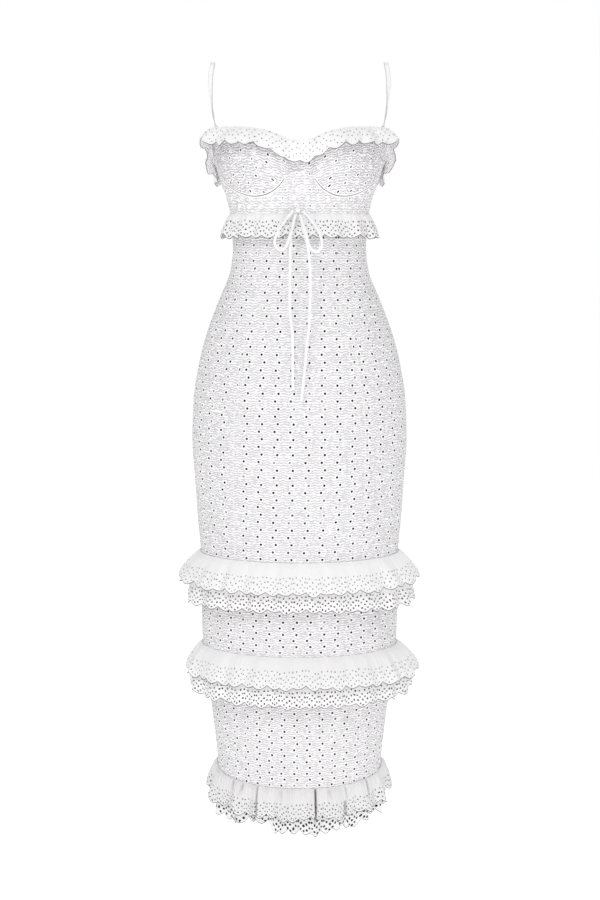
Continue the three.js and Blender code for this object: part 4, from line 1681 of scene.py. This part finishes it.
# Stops of the bow's four stretches of cord, from the knot outwards
LOOP_LEFT = (
    (-11, -99.8, -242.4), (-16.5, -102.8, -249), (-23, -106, -257.5), (-31.7, -113, -270.1),
    (-38, -118.6, -284), (-38.8, -120, -294), (-31.2, -119.4, -302.6), (-22.6, -119, -298.5),
    (-17, -119.6, -286), (-12.4, -115.6, -272), (-8.6, -108.8, -258), (-6.4, -103.2, -247.9),
)
LOOP_RIGHT = (
    (0.8, -103.2, -247.9), (4.2, -108.8, -258), (8, -115.2, -270), (11.8, -119.4, -284),
    (16.4, -119.8, -297.6), (25, -119.2, -305.6), (33.2, -119.6, -301), (35.4, -120, -290.4),
    (31.6, -116.6, -276.4), (23.8, -109.6, -263), (13.4, -103.6, -250), (6.1, -99.9, -242.6),
)
TAIL_LEFT = (
    (-6, -98, -247.7), (-8.6, -102.2, -257), (-10.8, -107, -266), (-12.6, -111.6, -276),
    (-14, -114, -287.3), (-14.6, -114.6, -312.4), (-15.1, -114.8, -342.4), (-15.5, -115, -381.9),
    (-14.4, -115, -408), (-11.6, -115, -429.7), (-10.9, -114.4, -456), (-10.9, -114, -482.6),
    (-10.6, -113.5, -526.2),
)
TAIL_RIGHT = (
    (0.7, -98, -247.7), (3, -102.2, -257), (5.4, -107, -266), (8, -111.6, -276),
    (10.6, -113.8, -286), (13.9, -114.4, -301.4), (16.4, -114.8, -328.2), (17.5, -115, -364.5),
    (16.6, -115, -392), (15, -115, -426.5), (11.5, -115, -453.6), (9.5, -114.6, -482.5),
    (5.6, -114.2, -519.7), (2.9, -114, -543.9),
)


@dataclass(frozen=True)
class Drawstring:
    """The bow: two loops, two hanging tails and the knot that holds them."""

    diameter: float = 4.6
    knot: Point = (-2.6, -98.9, -240.6)
    knot_half: Point = (7.0, 6.6, 6.6)
    core_share: float = 0.6
    wrap_radius: float = 2.7
    wrap_thick: float = 1.6
    # Lean of each turn of cord over the knot, and how far it lies aside
    wraps: tuple[tuple[float, float], ...] = ((8.0, -1.3), (-14.0, 1.5))
    steps: int = 6
    roundness: int = 5

    def mesh(self, name: str, route: Sequence[Point]) -> tuple[bpy.types.Object, float]:
        """Makes one stretch of cord.

        Args:
            name: The object's name.
            route: The stops that it runs through.

        Returns:
            The curve and its length in metres.
        """
        line = smooth_route(route, self.steps) * MM
        data = bpy.data.curves.new(name, "CURVE")
        data.dimensions = "3D"
        data.bevel_depth = self.diameter / 2 * MM
        data.bevel_resolution = self.roundness
        data.use_fill_caps = True
        spline = data.splines.new("POLY")
        spline.points.add(len(line) - 1)
        spline.points.foreach_set("co", np.hstack([line, np.ones((len(line), 1))]).ravel())
        spline.use_smooth = True
        made = bpy.data.objects.new(name, data)
        bpy.context.scene.collection.objects.link(made)
        return made, float(np.linalg.norm(np.diff(line, axis=0), axis=1).sum())

    def tie(self) -> bpy.types.Object:
        """Makes the knot: a rounded core with two turns of cord over it.

        Returns:
            The knot.
        """
        bpy.ops.object.select_all(action="DESELECT")
        place = tuple(value * MM for value in self.knot)
        core = tuple(half * self.core_share * MM for half in self.knot_half)
        bpy.ops.mesh.primitive_uv_sphere_add(segments=32, ring_count=20, radius=1, location=place, scale=core)
        knot = bpy.context.object
        parts = [knot]
        for lean, aside in self.wraps:
            bpy.ops.mesh.primitive_torus_add(
                major_segments=40,
                minor_segments=16,
                major_radius=self.wrap_radius * MM,
                minor_radius=self.wrap_thick * MM,
                location=(place[0] + aside * MM, place[1], place[2]),
                rotation=(0, math.radians(90 + lean), math.radians(lean)),
            )
            parts.append(bpy.context.object)
        bpy.ops.object.select_all(action="DESELECT")
        for part in parts:
            part.select_set(True)
        bpy.context.view_layer.objects.active = knot
        bpy.ops.object.join()
        bpy.ops.object.transform_apply(location=True, rotation=True, scale=True)
        bpy.ops.object.shade_smooth()
        knot.name = "bow_knot_wrap"
        return knot

    def dress(self) -> list[bpy.types.Object]:
        """Builds the cords and the knot in cord finish.

        Returns:
            The knot and the cords.
        """
        material = TAPE.cord()
        knot = self.tie()
        attach(knot, "bow_knot", material)
        made = [knot]
        cords = (
            ("bow_loop_left", LOOP_LEFT, "object", "loose"),
            ("bow_loop_right", LOOP_RIGHT, "object", "loose"),
            ("bow_tail_left", TAIL_LEFT, "bare", "hanging"),
            ("bow_tail_right", TAIL_RIGHT, "bare", "hanging"),
        )
        for node, route, far_end, lay in cords:
            piece, length = self.mesh(f"{node}_cord", route)
            attach(piece, node, material)
            log.info("%s: %.3f m of cord", piece.name, length)
            made.append(piece)
        return made


@dataclass(frozen=True)
class Studio:
    """The camera of the photograph, soft light and a pale floor."""

    camera_at: Point = (0.0, -2.4, -0.28085)
    camera_tilt: float = 81.4692
    lens: float = 85.654
    sensor: float = 36.0
    shift: float = 0.5 / 600
    farthest: float = 60.0
    floor_level: float = -1.55
    floor_size: float = 60.0
    floor_glow: float = 0.45
    floor_roughness: float = 0.95
    floor_tones: tuple[Colour, Colour] = ((0.9, 0.9, 0.9, 1), (0.92, 0.92, 0.92, 1))
    white: Colour = (1, 1, 1, 1)
    aim_at: Point = (0.0, 0.0, -0.6)
    lamp_size: float = 1.6
    key_at: Point = (-1.1, -2.8, 2.0)
    key_power: float = 37.0
    fill_at: Point = (0.9, -2.6, -1.35)
    fill_power: float = 19.0
    back_at: Point = (0.6, 2.8, 1.4)
    back_power: float = 34.0
    seen_sky: float = 1.0
    sky: float = 0.61

    def camera(self) -> None:
        """Makes the camera."""
        data = bpy.data.cameras.new("photo_camera")
        data.sensor_fit = "HORIZONTAL"
        data.sensor_width = self.sensor
        data.lens = self.lens
        data.shift_x = self.shift
        data.clip_end = self.farthest
        made = bpy.data.objects.new("photo_camera", data)
        made.location = self.camera_at
        made.rotation_euler = (math.radians(self.camera_tilt), 0, 0)
        bpy.context.scene.collection.objects.link(made)
        bpy.context.scene.camera = made

    def lamp(self, name: str, place: Point, power: float) -> None:
        """Adds a soft square lamp that faces the dress.

        Args:
            name: Its name.
            place: Where it stands.
            power: Its power in watts.
        """
        data = bpy.data.lights.new(name, "AREA")
        data.energy = power
        data.size = self.lamp_size
        made = bpy.data.objects.new(name, data)
        made.location = place
        aim = np.array(self.aim_at) - np.array(place)
        made.rotation_euler = (
            math.atan2(math.hypot(aim[0], aim[1]), -aim[2]),
            0,
            math.atan2(aim[1], aim[0]) - math.pi / 2,
        )
        bpy.context.scene.collection.objects.link(made)

    def floor(self) -> None:
        """Lays the pale floor below the hem."""
        bpy.ops.object.select_all(action="DESELECT")
        bpy.ops.mesh.primitive_plane_add(size=self.floor_size, location=(0, 0, self.floor_level))
        made = bpy.context.object
        made.name = "pale_floor"
        g = Graph("pale_floor")
        tone = g.mix(g.noise(2, 1).outputs[0], *self.floor_tones)
        g.shader.inputs["Emission Color"].default_value = self.white
        g.shader.inputs["Emission Strength"].default_value = self.floor_glow
        made.data.materials.append(g.finish(tone, self.floor_roughness, 0.0))

    def light(self) -> None:
        """Adds the white surroundings, which light the dress less than they show, and the lamps."""
        world = bpy.data.worlds.new("studio")
        world.use_nodes = True
        nodes, links = world.node_tree.nodes, world.node_tree.links
        seen = nodes.new("ShaderNodeLightPath")
        strength = nodes.new("ShaderNodeMapRange")
        strength.inputs["To Min"].default_value = self.sky
        strength.inputs["To Max"].default_value = self.seen_sky
        links.new(seen.outputs["Is Camera Ray"], strength.inputs["Value"])
        links.new(strength.outputs[0], nodes["Background"].inputs["Strength"])
        nodes["Background"].inputs["Color"].default_value = self.white
        bpy.context.scene.world = world
        bpy.context.scene.view_settings.view_transform = "Standard"
        self.lamp("key", self.key_at, self.key_power)
        self.lamp("fill", self.fill_at, self.fill_power)
        self.lamp("back", self.back_at, self.back_power)


def main() -> None:
    """Builds the studio and the dress, piece by piece."""
    logging.basicConfig(level=logging.INFO, format="%(name)s: %(message)s")
    studio = Studio()
    studio.camera()
    groups = (
        ("drawstring", Drawstring()),
        ("straps", Straps()),
        ("bodice", Bodice()),
        ("skirt", Skirt()),
        ("ruffles", Ruffles()),
    )
    for label, group in groups:
        log.info("%s: %d pieces", label, len(group.dress()))
    studio.floor()
    studio.light()


if __name__ == "__main__":
    main()
